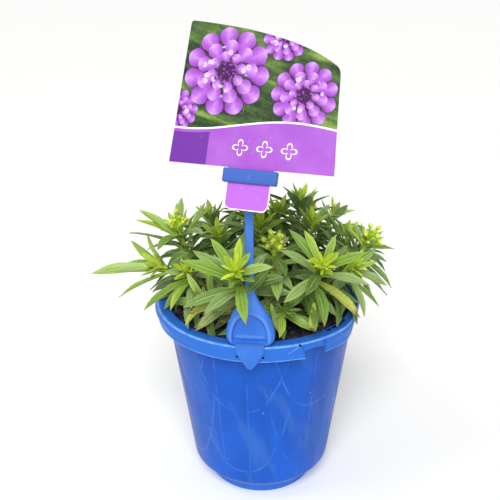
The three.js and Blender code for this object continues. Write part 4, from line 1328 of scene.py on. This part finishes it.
def polar(outline, centre, count):  # the outline again, at even angles round a centre
    d = outline - np.array(centre)
    angle = np.unwrap(np.arctan2(d[:, 1], d[:, 0]))
    if angle[-1] < angle[0]:
        angle, d = angle[::-1], d[::-1]
    radius = np.linalg.norm(d, axis=1)
    order = np.argsort(np.mod(angle, 2 * math.pi))
    wanted = np.arange(count) / count * 2 * math.pi
    radius = np.interp(wanted, np.mod(angle, 2 * math.pi)[order], radius[order], period=2 * math.pi)
    return np.stack([np.cos(wanted), np.sin(wanted)], 1) * radius[:, None]


def mirrored(right, share=1.0):  # a right half, and the left half that closes it
    right = np.concatenate(right)
    return np.concatenate([right, right[::-1] * np.array([-share, 1])])


def gripOutline():  # a teardrop, its left side a little narrower
    base, half, top = grip["base"], grip["stemWidth"] / 2, grip["neckTop"]
    return mirrored([
        curve((0, base), (5, base), (9, base), 12), curve((9, base), (15.4, base + 1.2), (15.1, 145)),
        curve((15.1, 145), (14.4, 153), (9.2, 160.5)), curve((9.2, 160.5), (4.6, 166), (half, top)),
        curve((half, top), (half / 2, top), (0, top), 8)], 0.96)


def dishOutline():
    foot, half, top = grip["dishFoot"], grip["dishHalf"], grip["dishTop"]
    return mirrored([
        curve((0, foot), (5, foot), (half - 1.9, foot), 12),
        curve((half - 1.9, foot), (half, foot), (half, foot + 2.2), 8),
        curve((half, foot + 2.2), (half + 0.3, grip["centre"]), (half - 2.8, 154.4)),
        curve((half - 2.8, 154.4), (4.2, top), (0, top))])


def standing(flat, y, middle):  # an outline of widths and heights, stood up at a depth
    return np.column_stack([flat[:, 0] + middle[0], np.full(len(flat), y), flat[:, 1] + middle[1]])


def shrunk(flat, inset):
    return flat - unit(flat) * inset


def dishDepth(size, share):  # how far a ring of the dish lies back, with a raised crease across it
    over = size[:, 1] + grip["centre"] - grip["crease"]
    rise = np.where(over > 0, np.exp(-(over / 6.5) ** 2), np.exp(-(over / 3.3) ** 2))
    floor = grip["front"] + grip["dishDeep"]
    return grip["front"] + (floor - grip["front"]) * share - share ** 3 * grip["creaseHigh"] * rise


def addGrip(form):  # from the middle of its back to the edge, up to the ridge and down into the dish
    middle, back, front, shoulder = (0, grip["centre"]), grip["back"], grip["front"], grip["shoulder"]
    outer = polar(gripOutline(), middle, grip["columns"])
    dish = polar(dishOutline(), middle, grip["columns"])
    rings = [standing(shrunk(outer * scale, inset), y, middle) for scale, inset, y in (
        (0.02, 0, back), (1, 0.7, back), (1, 0, back - 0.7), (1, 0, shoulder + 0.7), (1, 0.25, shoulder))]
    for k in grip["slope"]:
        y = shoulder + (front - shoulder) * math.sin(k * math.pi / 2) ** 0.8
        rings.append(standing(outer + (dish * 1.06 - outer) * k, y, middle))
    for scale, share in grip["dish"]:
        rings.append(standing(dish * scale, dishDepth(dish * scale, share), middle))
    rings = np.array(rings)
    neck = np.clip((rings[..., 2] - grip["neckFrom"]) / (grip["neckTop"] - grip["neckFrom"]), 0, 1)
    thinner = 1 - (1 - grip["neckShare"]) * neck * neck * (3 - 2 * neck)
    rings[..., 1] = back + (rings[..., 1] - back) * thinner
    form.tube(rings[:, ::-1])


def addTab(form):  # a shield that hangs over the skirt
    outline = np.array([(-8.5, 139.9), (-8.4, 134.4), (-6.6, 131.2), (-3.9, 126.6), (-1.4, 122.9), (0, 122.2),
                        (1.5, 122.7), (4.0, 125.8), (6.7, 130.2), (8.7, 134.6), (8.8, 139.9)])
    sides = zip(outline, np.roll(outline, -1, 0))
    dense = np.concatenate([p + (q - p) * np.linspace(0, 1, 8, endpoint=False)[:, None] for p, q in sides])
    middle, back, front, bevel = outline.mean(0), grip["tabBack"], grip["tabFront"], grip["tabBevel"]
    flat = polar(dense, middle, 96)
    rings = [standing(flat * 0.02, back, middle)]
    for inset, y in ((bevel, back), (0, back - bevel), (0, front + bevel),
                     (bevel * 0.35, front + bevel * 0.3), (bevel * 1.2, front), (bevel * 4, front - 0.12)):
        rings.append(standing(shrunk(flat, inset), y, middle))
    rings.append(standing(flat * 0.02, front - 0.2, middle))
    form.tube(np.array(rings)[:, ::-1])


def boxBetween(form, low, high, bevel):
    (x0, y0, z0), (x1, y1, z1) = low, high
    rings = []
    for inset, z in ((bevel, z0), (0, z0 + bevel), (0, z1 - bevel), (bevel, z1)):
        left, right, near, far = x0 + inset, x1 - inset, y0 + inset, y1 - inset
        b = min(bevel, (far - near) * 0.4)
        rings.append([(left + b, near, z), (right - b, near, z), (right, near + b, z), (right, far - b, z),
                      (right - b, far, z), (left + b, far, z), (left, far - b, z), (left, near + b, z)])
    form.tube(np.array(rings))


def addLeg(form):  # a bridge across the lip and a leg inside the wall
    rest, half, back = potSize["height"] + grow["gap"], grip["legHalf"], grip["legBack"]
    high = (half, back, rest + grip["legTop"])
    boxBetween(form, (-half, grip["legReach"], rest), high, 0.5)
    boxBetween(form, (-half, grip["legFront"], grip["legFoot"]), high, 0.35)


def addHolderStem(form):
    count = grip["stemColumns"]
    a = np.arange(count) / count * 2 * math.pi
    across = np.sign(np.cos(a)) * np.abs(np.cos(a)) ** grip["stemSquare"]
    deep = np.sign(np.sin(a)) * np.abs(np.sin(a)) ** grip["stemSquare"]
    rings = []
    for k in np.arange(grip["stemRows"] + 1) / grip["stemRows"]:
        width = grip["stemWidth"] / 2 * (1 + grip["stemFlare"] * (1 - k) ** 6)
        z = grip["stemFoot"] + (grip["stemTop"] - grip["stemFoot"]) * k
        y = grip["stemThick"] / 2 * deep + grip["stemY"]
        rings.append(np.column_stack([width * across, y, np.full(count, z)]))
    form.tube(np.array(rings))


def toLabel(points):  # from the label's own frame to its place on the stem
    turn = Matrix.Rotation(labelSpot["yaw"], 4, "Z") @ Matrix.Rotation(labelSpot["lean"], 4, "X")
    m = np.array(Matrix.Translation(labelSpot["centre"]) @ turn)
    return np.asarray(points, float) @ m[:3, :3].T + m[:3, 3]


def roundedBox(width, depth, radius, count=6):
    ring = []
    for cx, cy, start in ((1, 1, 0), (-1, 1, 90), (-1, -1, 180), (1, -1, 270)):
        for i in range(count):
            a = math.radians(start + 90 * i / (count - 1))
            x = cx * (width / 2 - radius) + radius * math.cos(a)
            ring.append((x, cy * (depth / 2 - radius) + radius * math.sin(a)))
        flat = width / 2 - radius - 0.4  # a point beside each corner keeps the long side flat
        ring.insert(len(ring) if cx == cy else len(ring) - count, (cx * flat, cy * depth / 2))
    return np.array(ring)


def addSleeve(form):  # up its outside and down through its slot, each ring with an inset and a height
    width, depth, height = grip["sleeve"]
    slotWidth, slotDepth = grip["slot"]
    rows = []
    for inset, z in ((0.5, -1), (0.12, -0.94), (0, -0.86), (0, -0.3), (0, 0.3), (0, 0.86),
                     (0.12, 0.94), (0.5, 1)):
        flat = roundedBox(width - 2 * inset, depth - 2 * inset, 0.7)
        rows.append(np.column_stack([flat, np.full(len(flat), z * height / 2)]))
    for inset, z in ((-0.15, 1), (0, 0.95), (0, 0), (0, -0.95), (-0.15, -1)):
        flat = roundedBox(slotWidth - 2 * inset, slotDepth - 2 * inset, 0.3)
        rows.append(np.column_stack([flat, np.full(len(flat), z * height / 2)]))
    columns = len(rows[0])
    end = (len(rows) - 1) * columns
    last = [(end + i, end + (i + 1) % columns, (i + 1) % columns, i) for i in range(columns)]
    form.add(toLabel(np.concatenate(rows)), np.concatenate([sheetFaces(len(rows), columns, wrap=True), last]))


def makeHolder(material):
    form = Form()
    for part in (addGrip, addTab, addLeg, addHolderStem, addSleeve):
        part(form)
    return form.piece("label_holder_clip", [material], "holder_blue", ["label_holder"], sharp=38)


holder = {
    # ridge is the pale blue of painted highlights on the grip, also used for pale patches
    "blue": "#2867c6", "bright": "#3070d0", "stem": "#3f75cc", "sleeve": "#355db0", "ridge": "#74a3f0",
    "dirt": "#5b4a38", "speck": "#3a3a3e", "foldAt": 139.3, "stemFrom": (150, 165), "sleeveFrom": (236, 238),
}


def holderPlastic():
    look = Look("holderPlastic")
    spot = look.place()
    x, y, z = spot.parts()
    fine = look.noise(spot, 1.1, 4.0, 0.6)
    clouds = look.noise(spot, 0.05, 2.0)
    colour = look.blend(clouds.rise(0.3, 0.7), holder["blue"], holder["bright"])
    colour = look.blend(z.rise(*holder["stemFrom"]), colour, holder["stem"])
    colour = look.blend(z.rise(*holder["sleeveFrom"]), colour, holder["sleeve"])
    # painted highlights: the raised ridge round the dish and the crease across it are lightened
    ridge = (1 - y.rise(-71.15, -70.5)) * z.rise(140.0, 141.5) * (1 - z.rise(168, 172))
    colour = look.blend(ridge * 0.35, colour, holder["ridge"])
    crease = (1 - abs(z - grip["crease"] - 0.3).rise(0.3, 1.6)) * (1 - abs(x).rise(7.5, 9.5))
    colour = look.blend(crease * y.rise(-70.4, -69.8) * 0.35, colour, holder["ridge"])
    patchy = fine.rise(0.5, 0.7) * look.noise(spot, 0.2, 3.0).rise(0.5, 0.65)
    colour = look.blend(patchy * 0.25, colour, holder["ridge"])
    fold = (1 - abs(z - holder["foldAt"]).rise(0.1, 0.5)) * (1 - abs(x).rise(7.6, 8.6))
    fold = fold * (1 - y.rise(-70.4, -69.6))
    colour = look.blend(fold * (0.3 + fine * 0.8), colour, holder["dirt"])
    specks = (1 - look.cells(spot, 0.16).rise(0.04, 0.07)) * fine.rise(0.52, 0.56)
    colour = look.blend(specks * 0.8, colour, holder["speck"])
    skin = look.bump(look.noise(spot, 4.0, 2.0), 0.0003, 0.35)
    return look.finish(Base_Color=colour, Roughness=0.42 + fine * 0.15, Normal=skin, Specular_IOR_Level=0.35)


makeHolder(holderPlastic())
print("label holder built")


# Label card: thin printed plastic, held by its tongue

card = {
    "thick": 0.56, "step": 2.2, "clearOfEdge": 0.8, "gridFrom": (-48, -18), "gridTo": (46, 84),
    "bow": 1.1, "bendHeight": 80, "crease": 0.5, "creaseAt": -14.0, "creaseWidth": 4,
    "tongueHalf": 13.2, "tongueEnd": -18.6, "foot": 4.4, "left": -49.3, "right": 46,
}


def cardOutline():  # the tongue from its left shoulder on, then the picture from its lower right corner on
    half, end, foot = card["tongueHalf"], card["tongueEnd"], card["foot"]
    left, right = card["left"], card["right"]
    stretches = [
        [(-half, foot), (-half + 0.4, -14)],
        curve((-half + 0.4, -14), (-half + 1.2, end + 0.2), (-half + 4.4, end), 8)[1:],
        [(-half + 4.4, end), (half - 3.4, end)],
        curve((half - 3.4, end), (half - 1.6, end + 0.2), (half - 0.9, -14), 8)[1:],
        [(half - 0.9, -14), (half, foot), (right - 0.4, foot)],
        curve((right - 0.4, foot), (right, foot), (right, foot + 0.5), 4)[1:],
        curve((right, foot + 0.5), (44, 33), (42.4, 57.5), 10)[1:],
        curve((42.4, 57.5), (42.3, 60.4), (40, 62.5), 8),
        curve((40, 62.5), (14, 80.5), (-44.6, 85), 36),
        curve((-44.6, 85), (-46.6, 85.1), (-46.8, 83.2), 8),
        curve((-46.8, 83.2), (-48, 44), (left, foot + 0.5), 14),
        curve((left, foot + 0.5), (left, foot), (left + 0.5, foot), 4),
    ]
    return np.concatenate([np.array(stretch, float) for stretch in stretches])


def inside(points, outline):
    x, z = points[:, 0][:, None], points[:, 1][:, None]
    ax, az = outline[:, 0][None], outline[:, 1][None]
    bx, bz = np.roll(outline, -1, 0)[:, 0][None], np.roll(outline, -1, 0)[:, 1][None]
    with np.errstate(divide="ignore", invalid="ignore"):
        crosses = ((az > z) != (bz > z)) & (x < (bx - ax) * (z - az) / (bz - az) + ax)
    return crosses.sum(1) % 2 == 1


def cardGrid(outline):  # points inside the outline, every other row shifted by half a step
    step, (xLow, zLow), (xHigh, zHigh) = card["step"], card["gridFrom"], card["gridTo"]
    xs, zs = np.arange(xLow, xHigh, step), np.arange(zLow, zHigh, step)
    grid = np.array([(x + (step / 2 if j % 2 else 0), z) for j, z in enumerate(zs) for x in xs])
    grid = grid[inside(grid, outline)]
    near = np.min(np.linalg.norm(grid[:, None] - outline[None], axis=2), axis=1)
    return grid[near > card["clearOfEdge"]]


def flatCard(outline):  # the points of the flat card, and triangles that all turn the same way
    points = np.concatenate([outline, cardGrid(outline)])
    made = delaunay_2d_cdt([Vector(p) for p in points], [], [list(range(len(outline)))], 1, 1e-4)
    flat, triangles = np.array([tuple(p) for p in made[0]]), np.array(made[2])
    a, b, c = (flat[triangles[:, i]] for i in range(3))
    turn = (b[:, 0] - a[:, 0]) * (c[:, 1] - a[:, 1]) - (b[:, 1] - a[:, 1]) * (c[:, 0] - a[:, 0])
    triangles[turn < 0] = triangles[turn < 0][:, ::-1]
    return flat, triangles


def cardBend(x, z):
    rise = np.clip((z - card["foot"]) / card["bendHeight"], 0, 1)
    bow = card["bow"] * rise * np.sin((x + 50) / 96 * math.pi) - 0.7 * card["bow"] * rise
    fold = -card["crease"] * np.exp(-np.abs(x - card["creaseAt"]) / card["creaseWidth"]) * rise
    return bow + fold


def makeCard(materials):
    flat, triangles = flatCard(cardOutline())
    count, half = len(flat), card["thick"] / 2
    bend = cardBend(flat[:, 0], flat[:, 1])
    front = np.column_stack([flat[:, 0], bend - half, flat[:, 1]])
    back = np.column_stack([flat[:, 0], bend + half, flat[:, 1]])
    edges = [(tri[i], tri[(i + 1) % 3]) for tri in triangles.tolist() for i in range(3)]
    known = set(edges)
    rim = [(p, q) for p, q in edges if (q, p) not in known]
    place = np.column_stack([np.tile(flat, (2, 1)), np.repeat([1.0, 0.0], count)])
    form = Form()
    form.add(toLabel(np.concatenate([front, back])), triangles, place)
    form.more(triangles[:, ::-1] + count, 1)
    form.more([(q, p, p + count, q + count) for p, q in rim], 1)
    return form.piece("picture_label", materials, "printed_card", ["label_card"], sharp=40)


printed = {
    "leaves": ((0.36, "#131d12"), (0.46, "#263d1f"), (0.55, "#4c6a2f"), (0.64, "#8ba24a")),
    "petals": ((0.0, "#4a1a66"), (0.28, "#8436a2"), (0.55, "#a65ac6"), (0.85, "#cb9ae4")),
    "shade": "#33183c", "floret": "#d8c8ee", "pollen": "#b9ad3c", "heart": "#3d1446",
    "bud": "#9034a8", "budTip": "#b96fd0", "white": "#ffffff",
    "bandLeft": "#9b4cbc", "bandRight": "#a156c2", "bandTop": "#9550bf", "bandPale": "#bc84d8",
    "bandDark": "#6c2f98",
    "tongue": "#b162d0", "tonguePale": "#bd76d8", "tongueTop": 3.6,
    "heads": (((10, 77), 13.0, 0.4), ((-48, 34), 12.0, 0.9), ((-22, 57), 25.0, 0.2),
              ((24, 46), 18.5, 0.6)),  # centre, radius and turn
    "petalRows": ((11, 0.45, 1.0, 0.5), (9, 0.26, 0.72, 0.47), (8, 0.14, 0.46, 0.46),
                  (6, 0.04, 0.27, 0.42)),  # how many, from and to as shares of the radius, half width
    "line": 27.5, "lineSwing": 3.4, "blossoms": ((-8, 15.5), (6, 15.5), (20, 15.5)),
}


def flowerHead(x, z, centre, radius, turn):  # its shades, its outline and the distance from its centre
    dx, dz = (x - centre[0]) / radius, (z - centre[1]) / radius
    r = (dx * dx + dz * dz) ** 0.5
    angle = dz.math("ARCTAN2", dx) * (0.5 / math.pi) + 1.0
    shade, mask = None, None
    for count, low, high, width in printed["petalRows"]:
        cell = angle * count + turn + count * 0.13
        local = abs(cell.math("FRACT") - 0.5)
        k = ((r - low) / (high - low)).math("MAXIMUM", 0.0).math("MINIMUM", 1.0)
        halfWidth = (k ** 1.5 * math.pi).math("SINE") ** 0.55 * width
        petal = (halfWidth - local).rise(0.0, 0.05) * (r > low) * (r < high)
        tone = 0.3 + k * 0.4 - local * 0.8 + (1 - low) * 0.25
        if shade is None:
            shade, mask = tone * petal, petal
        else:
            shade = shade * (1 - petal) + tone * petal
            mask = mask.math("MAXIMUM", petal)
    return shade, mask, r


def printHead(look, picture, spot, fine, cells, head):  # one flower head over what is there
    shade, mask, r = flowerHead(*spot, *head)
    florets, buds = cells
    bloom = look.ramp(shade + (fine - 0.5) * 0.25, printed["petals"])
    picture = look.blend((1 - r.rise(0.75, 1.05)) * 0.75, picture, printed["shade"])
    picture = look.blend(mask, picture, bloom)
    ring = r.rise(0.3, 0.34) * (1 - r.rise(0.55, 0.6))
    picture = look.blend((1 - florets.rise(0.3, 0.38)) * ring * 0.8, picture, printed["floret"])
    picture = look.blend((1 - florets.rise(0.1, 0.15)) * ring, picture, printed["pollen"])
    picture = look.blend(1 - r.rise(0.2, 0.3), picture, printed["heart"])
    picture = look.blend((1 - buds.rise(0.3, 0.42)) * (1 - r.rise(0.22, 0.3)), picture, printed["bud"])
    return look.blend((1 - buds.rise(0.05, 0.2)) * (1 - r.rise(0.22, 0.3)), picture, printed["budTip"])


def printPicture(look, x, z, fog, fine, flat):  # flower heads over blurred leaves
    blades = look.noise(look.join(x * 0.05 + z * 0.16, z * 0.04 - x * 0.015, 4.0), 1.0, 3.0)
    picture = look.ramp(fog * 0.35 + blades * 0.55 + fine * 0.1, printed["leaves"])
    cells = look.cells(flat, 0.21), look.cells(flat, 0.62)
    for head in printed["heads"]:
        picture = printHead(look, picture, (x, z), fine, cells, head)
    return picture


def printBand(look, x, z, fog, above):  # the violet band with three small blossoms in outline
    band = look.blend((x + 50) / 100, printed["bandLeft"], printed["bandRight"])
    band = look.blend((z / 30).rise(0.1, 1.0) * 0.35, band, printed["bandTop"])
    band = look.blend(fog.rise(0.35, 0.7) * 0.25, band, printed["bandPale"])
    corner = (1 - (x + 27).rise(-0.3, 0.3)) * (1 - (above + 2.2).rise(-0.2, 0.2))
    band = look.blend(corner, band, printed["bandDark"])
    for left, height in printed["blossoms"]:
        dx, dz = x - left, z - height
        r = (dx * dx + dz * dz) ** 0.5
        petals = abs((dz.math("ARCTAN2", dx) * 2.0).math("COSINE")) * 3.0 + 1.2
        ring = (1 - abs(r - petals).rise(0.25, 0.6)) * (r < 5.0)
        band = look.blend(ring * 0.85, band, printed["white"])
    return band


def tongueTrim(x, z):  # 1 outside a line that runs round the tongue, just inside its edge
    cornerX = (abs(x + 0.25) - 8.6).math("MAXIMUM", 0.0)
    cornerZ = (z * -1.0 - 14.4).math("MAXIMUM", 0.0)
    return ((cornerX * cornerX + cornerZ * cornerZ) ** 0.5).rise(3.45, 3.75)


def printedFront():
    look = Look("printedFront")
    x, z, _ = look.mark("place")
    flat = look.join(x, z)
    fog, fine = look.noise(flat, 0.05, 3.0), look.noise(flat, 0.5, 3.0)
    above = z - (printed["line"] + (x * 0.052 + 0.6).math("SINE") * printed["lineSwing"])
    picture, band = printPicture(look, x, z, fog, fine, flat), printBand(look, x, z, fog, above)
    colour = look.blend(above.rise(-0.15, 0.15), band, picture)
    colour = look.blend(1 - abs(above).rise(0.35, 0.6), colour, printed["white"])
    tongue = z < printed["tongueTop"]
    colour = look.blend(tongue, colour, look.blend(fine * 0.3, printed["tongue"], printed["tonguePale"]))
    colour = look.blend(tongueTrim(x, z) * tongue * 0.8, colour, printed["white"])
    scratch = look.noise(look.join(x * 1.6, z * 0.12, 5.0), 1.0, 3.0).rise(0.68, 0.74)
    colour = look.blend(scratch * 0.25, colour, printed["white"])
    return look.finish(
        Base_Color=colour, Roughness=0.36 + fine * 0.12 + scratch * 0.2, Normal=look.bump(fine, 0.0003, 0.25),
        Specular_IOR_Level=0.25)


cardRear = {"plain": "#f2eef4", "cloud": "#dcd4e2", "band": "#c98ae2", "scuff": "#b9b2bd", "bandTop": 16}


def cardBack():
    look = Look("cardBack")
    x, z, _ = look.mark("place")
    flat = look.join(x, z)
    fine = look.noise(flat, 0.6, 4.0, 0.6)
    colour = look.blend(fine.rise(0.35, 0.7) * 0.4, cardRear["plain"], cardRear["cloud"])
    band = (1 - (z - cardRear["bandTop"]).rise(-0.2, 0.2)) * z.rise(4.6, 5.2)
    colour = look.blend(band * 0.9, colour, cardRear["band"])
    scuff = look.noise(look.join(x * 0.2, z * 1.4, 2.0), 1.0, 4.0).rise(0.62, 0.72)
    colour = look.blend(scuff * 0.3, colour, cardRear["scuff"])
    return look.finish(Base_Color=colour, Roughness=0.5 + fine * 0.15, Normal=look.bump(fine, 0.0003, 0.25))


makeCard([printedFront(), cardBack()])
print("label card built")


# Potting mix: a dark crumbly bed with bark chips

soil = {
    "radius": 60.4, "rings": 46, "columns": 150, "rough": 1.3, "grit": 0.4, "calmCentre": 4, "lower": 0.5,
    "body": ((36.7, 2.4), (37.4, 6.8), (47.4, 18.6)),  # radius and height of the part inside the pot's wall
    "shoulder": 2.2, "wallGap": 2.1,
    "waves": 36, "waveFrom": 0.1, "waveSpread": 1.3, "calm": 5,
    "chips": 520, "chipEdge": 3,
    "chipLong": (3, 6), "chipWide": (1.6, 2.2), "chipThick": (0.9, 1.3),  # the least, and what chance adds
    "chipOutline": ((-1, -0.5), (-0.3, -1), (0.7, -0.9), (1, 0.2), (0.3, 1), (-0.8, 0.7)),
    "crumbs": 1500, "crumbEdge": 1, "crumb": (0.5, 1.1), "crumbShape": (1, 0.8, 0.7),
}
dice = np.random.RandomState(88)


def lumps(x, y):  # waves in all directions, the short ones lower
    total = np.zeros_like(x)
    waves = np.random.RandomState(5)
    for _ in range(soil["waves"]):
        a = waves.rand() * 2 * math.pi
        k = soil["waveFrom"] + soil["waveSpread"] * waves.rand() ** 2
        total += np.sin((x * math.cos(a) + y * math.sin(a)) * k + waves.rand() * 7) / (0.8 + 2.2 * k)
    return total / soil["calm"]


def onTop(edge):  # a place on the bed, at least this far inside its rim
    r, a = (soil["radius"] - edge) * math.sqrt(dice.rand()), dice.rand() * 2 * math.pi
    x, y = r * math.cos(a), r * math.sin(a)
    return np.array([x, y, mixLevel + soil["rough"] * float(lumps(np.array([x]), np.array([y]))[0])])


def addChip(form, spot, size, turn, tone):
    corners = np.array([(x, y, z) for z in (-1, 1) for x, y in soil["chipOutline"]], float)
    corners += (dice.rand(*corners.shape) - 0.5) * 0.5
    corners[len(soil["chipOutline"]):, :2] *= 0.55 + 0.4 * dice.rand()  # the top is smaller
    corners = corners * size / 2
    m = Matrix.Rotation(turn[2], 3, "Z") @ Matrix.Rotation(turn[1], 3, "Y") @ Matrix.Rotation(turn[0], 3, "X")
    form.tube((corners @ np.array(m).T + spot).reshape(2, -1, 3), tone=tone)


def addBed(form):
    angles = np.arange(soil["columns"]) / soil["columns"] * 2 * math.pi
    edge = mixLevel - soil["shoulder"]
    rings = []
    for r, z in (*soil["body"], (wallRadius(edge) - soil["wallGap"], edge)):
        rings.append(np.column_stack([r * np.cos(angles), r * np.sin(angles), np.full(len(angles), z)]))
    for i in range(soil["rings"]):
        r = soil["radius"] * (1 - (i + 0.2) / soil["rings"])
        x, y = r * np.cos(angles), r * np.sin(angles)
        grit = soil["grit"] * (dice.rand(len(angles)) - 0.5) * (r > soil["calmCentre"])
        z = mixLevel + soil["rough"] * lumps(x, y) - soil["lower"] + grit
        rings.append(np.column_stack([x, y, z]))
    form.tube(np.array(rings), tone=(0.3, 0.5, 0))


def addChips(form):
    (long, longer), (wide, wider), (thick, thicker) = soil["chipLong"], soil["chipWide"], soil["chipThick"]
    for _ in range(soil["chips"]):
        spot = onTop(soil["chipEdge"])
        size = [long + longer * dice.rand() ** 1.5, wide + wider * dice.rand(), thick + thicker * dice.rand()]
        spot[2] = spot[2] - 0.2 + 0.5 * dice.rand()  # some lie deeper
        turn = ((dice.rand() - 0.5) * 0.9, (dice.rand() - 0.5) * 0.7, dice.rand() * 6.3)
        addChip(form, spot, np.array(size), turn, (dice.rand(), dice.rand(), 1))


def addCrumbs(form):
    least, spread = soil["crumb"]
    for _ in range(soil["crumbs"]):
        spot = onTop(soil["crumbEdge"])
        size = (least + spread * dice.rand()) * np.array(soil["crumbShape"])
        spot[2] += 0.1
        addChip(form, spot, size, dice.rand(3) * 3, (dice.rand(), dice.rand(), 0.5))


def makeMix(material):
    form = Form()
    addBed(form)
    addChips(form)
    addCrumbs(form)
    return form.piece("bark_mix", [material], "potting_mix", ["potting_mix"], sharp=30)


bark = {
    "stops": ((0.15, "#1b1921"), (0.42, "#3a3542"), (0.66, "#655a6c"), (0.92, "#a394a8")),
    "brown": "#7d6356", "dry": "#a799ac",
}


def barkLook():
    look = Look("barkMix")
    tone, tint, chip = look.mark("tone")
    spot = look.place()
    grain = look.noise(look.stretch(spot, (1.0, 1.0, 2.5)), 0.9, 5.0, 0.65)
    wet = look.noise(spot, 0.12, 2.0)
    colour = look.ramp(grain * 0.55 + tone * 0.45, bark["stops"])
    colour = look.blend(chip * tint.rise(0.75, 1.0) * 0.5, colour, bark["brown"])
    colour = look.blend(chip * tint.rise(0.2, 0.0) * grain.rise(0.5, 0.7), colour, bark["dry"])
    rough = 0.62 + grain * 0.25 - wet * 0.12
    return look.finish(Base_Color=colour, Roughness=rough, Normal=look.bump(grain, 0.0012, 0.9))


makeMix(barkLook())
print("potting mix built")


# Floor and light

studio = {
    "floor": "#f8f8f6", "floorBright": "#ffffff", "floorHalf": 20, "world": 0.43,
    "sun": 2.85, "sunSoft": 32, "sunFrom": (0.04, -0.97, 1.0),
    "glint": 3.0, "glintSize": 0.35, "glintFrom": (-0.7, -0.5, 1.5), "glintAt": (0, 0, 0.14),  # in metres
}


def paleFloor():
    look = Look("paleFloor")
    mist = look.noise(look.place(), 0.004, 2.0)
    colour = look.blend(mist * 0.2, studio["floor"], studio["floorBright"])
    return look.finish(Base_Color=colour, Roughness=0.75 + mist * 0.1)


def makeFloor(material):
    half = studio["floorHalf"]
    corners = [(-half, -half, 0), (half, -half, 0), (half, half, 0), (-half, half, 0)]
    mesh = bpy.data.meshes.new("floor")
    mesh.from_pydata(corners, [], [(0, 1, 2, 3)])
    mesh.materials.append(material)
    floor = bpy.data.objects.new("floor", mesh)
    bpy.context.scene.collection.objects.link(floor)


def makeWorld():
    world = bpy.data.worlds.new("studio")
    world.use_nodes = True
    backdrop = world.node_tree.nodes["Background"]
    backdrop.inputs["Color"].default_value = (1, 1, 1, 1)
    backdrop.inputs["Strength"].default_value = studio["world"]
    bpy.context.scene.world = world


def makeLight(name, kind, energy, way):
    data = bpy.data.lights.new(name, kind)
    data.energy = energy
    lamp = bpy.data.objects.new(name, data)
    lamp.rotation_euler = way.to_track_quat("Z", "Y").to_euler()
    bpy.context.scene.collection.objects.link(lamp)
    return lamp


def makeLights():
    sun = makeLight("sun", "SUN", studio["sun"], Vector(studio["sunFrom"]))
    sun.data.angle = math.radians(studio["sunSoft"])
    way = Vector(studio["glintFrom"]) - Vector(studio["glintAt"])
    glint = makeLight("glint", "AREA", studio["glint"], way)
    glint.data.size = studio["glintSize"]
    glint.location = studio["glintFrom"]


makeFloor(paleFloor())
makeWorld()
makeLights()
bpy.context.scene.view_settings.view_transform = "Standard"
print("studio built")

bpy.context.view_layer.update()
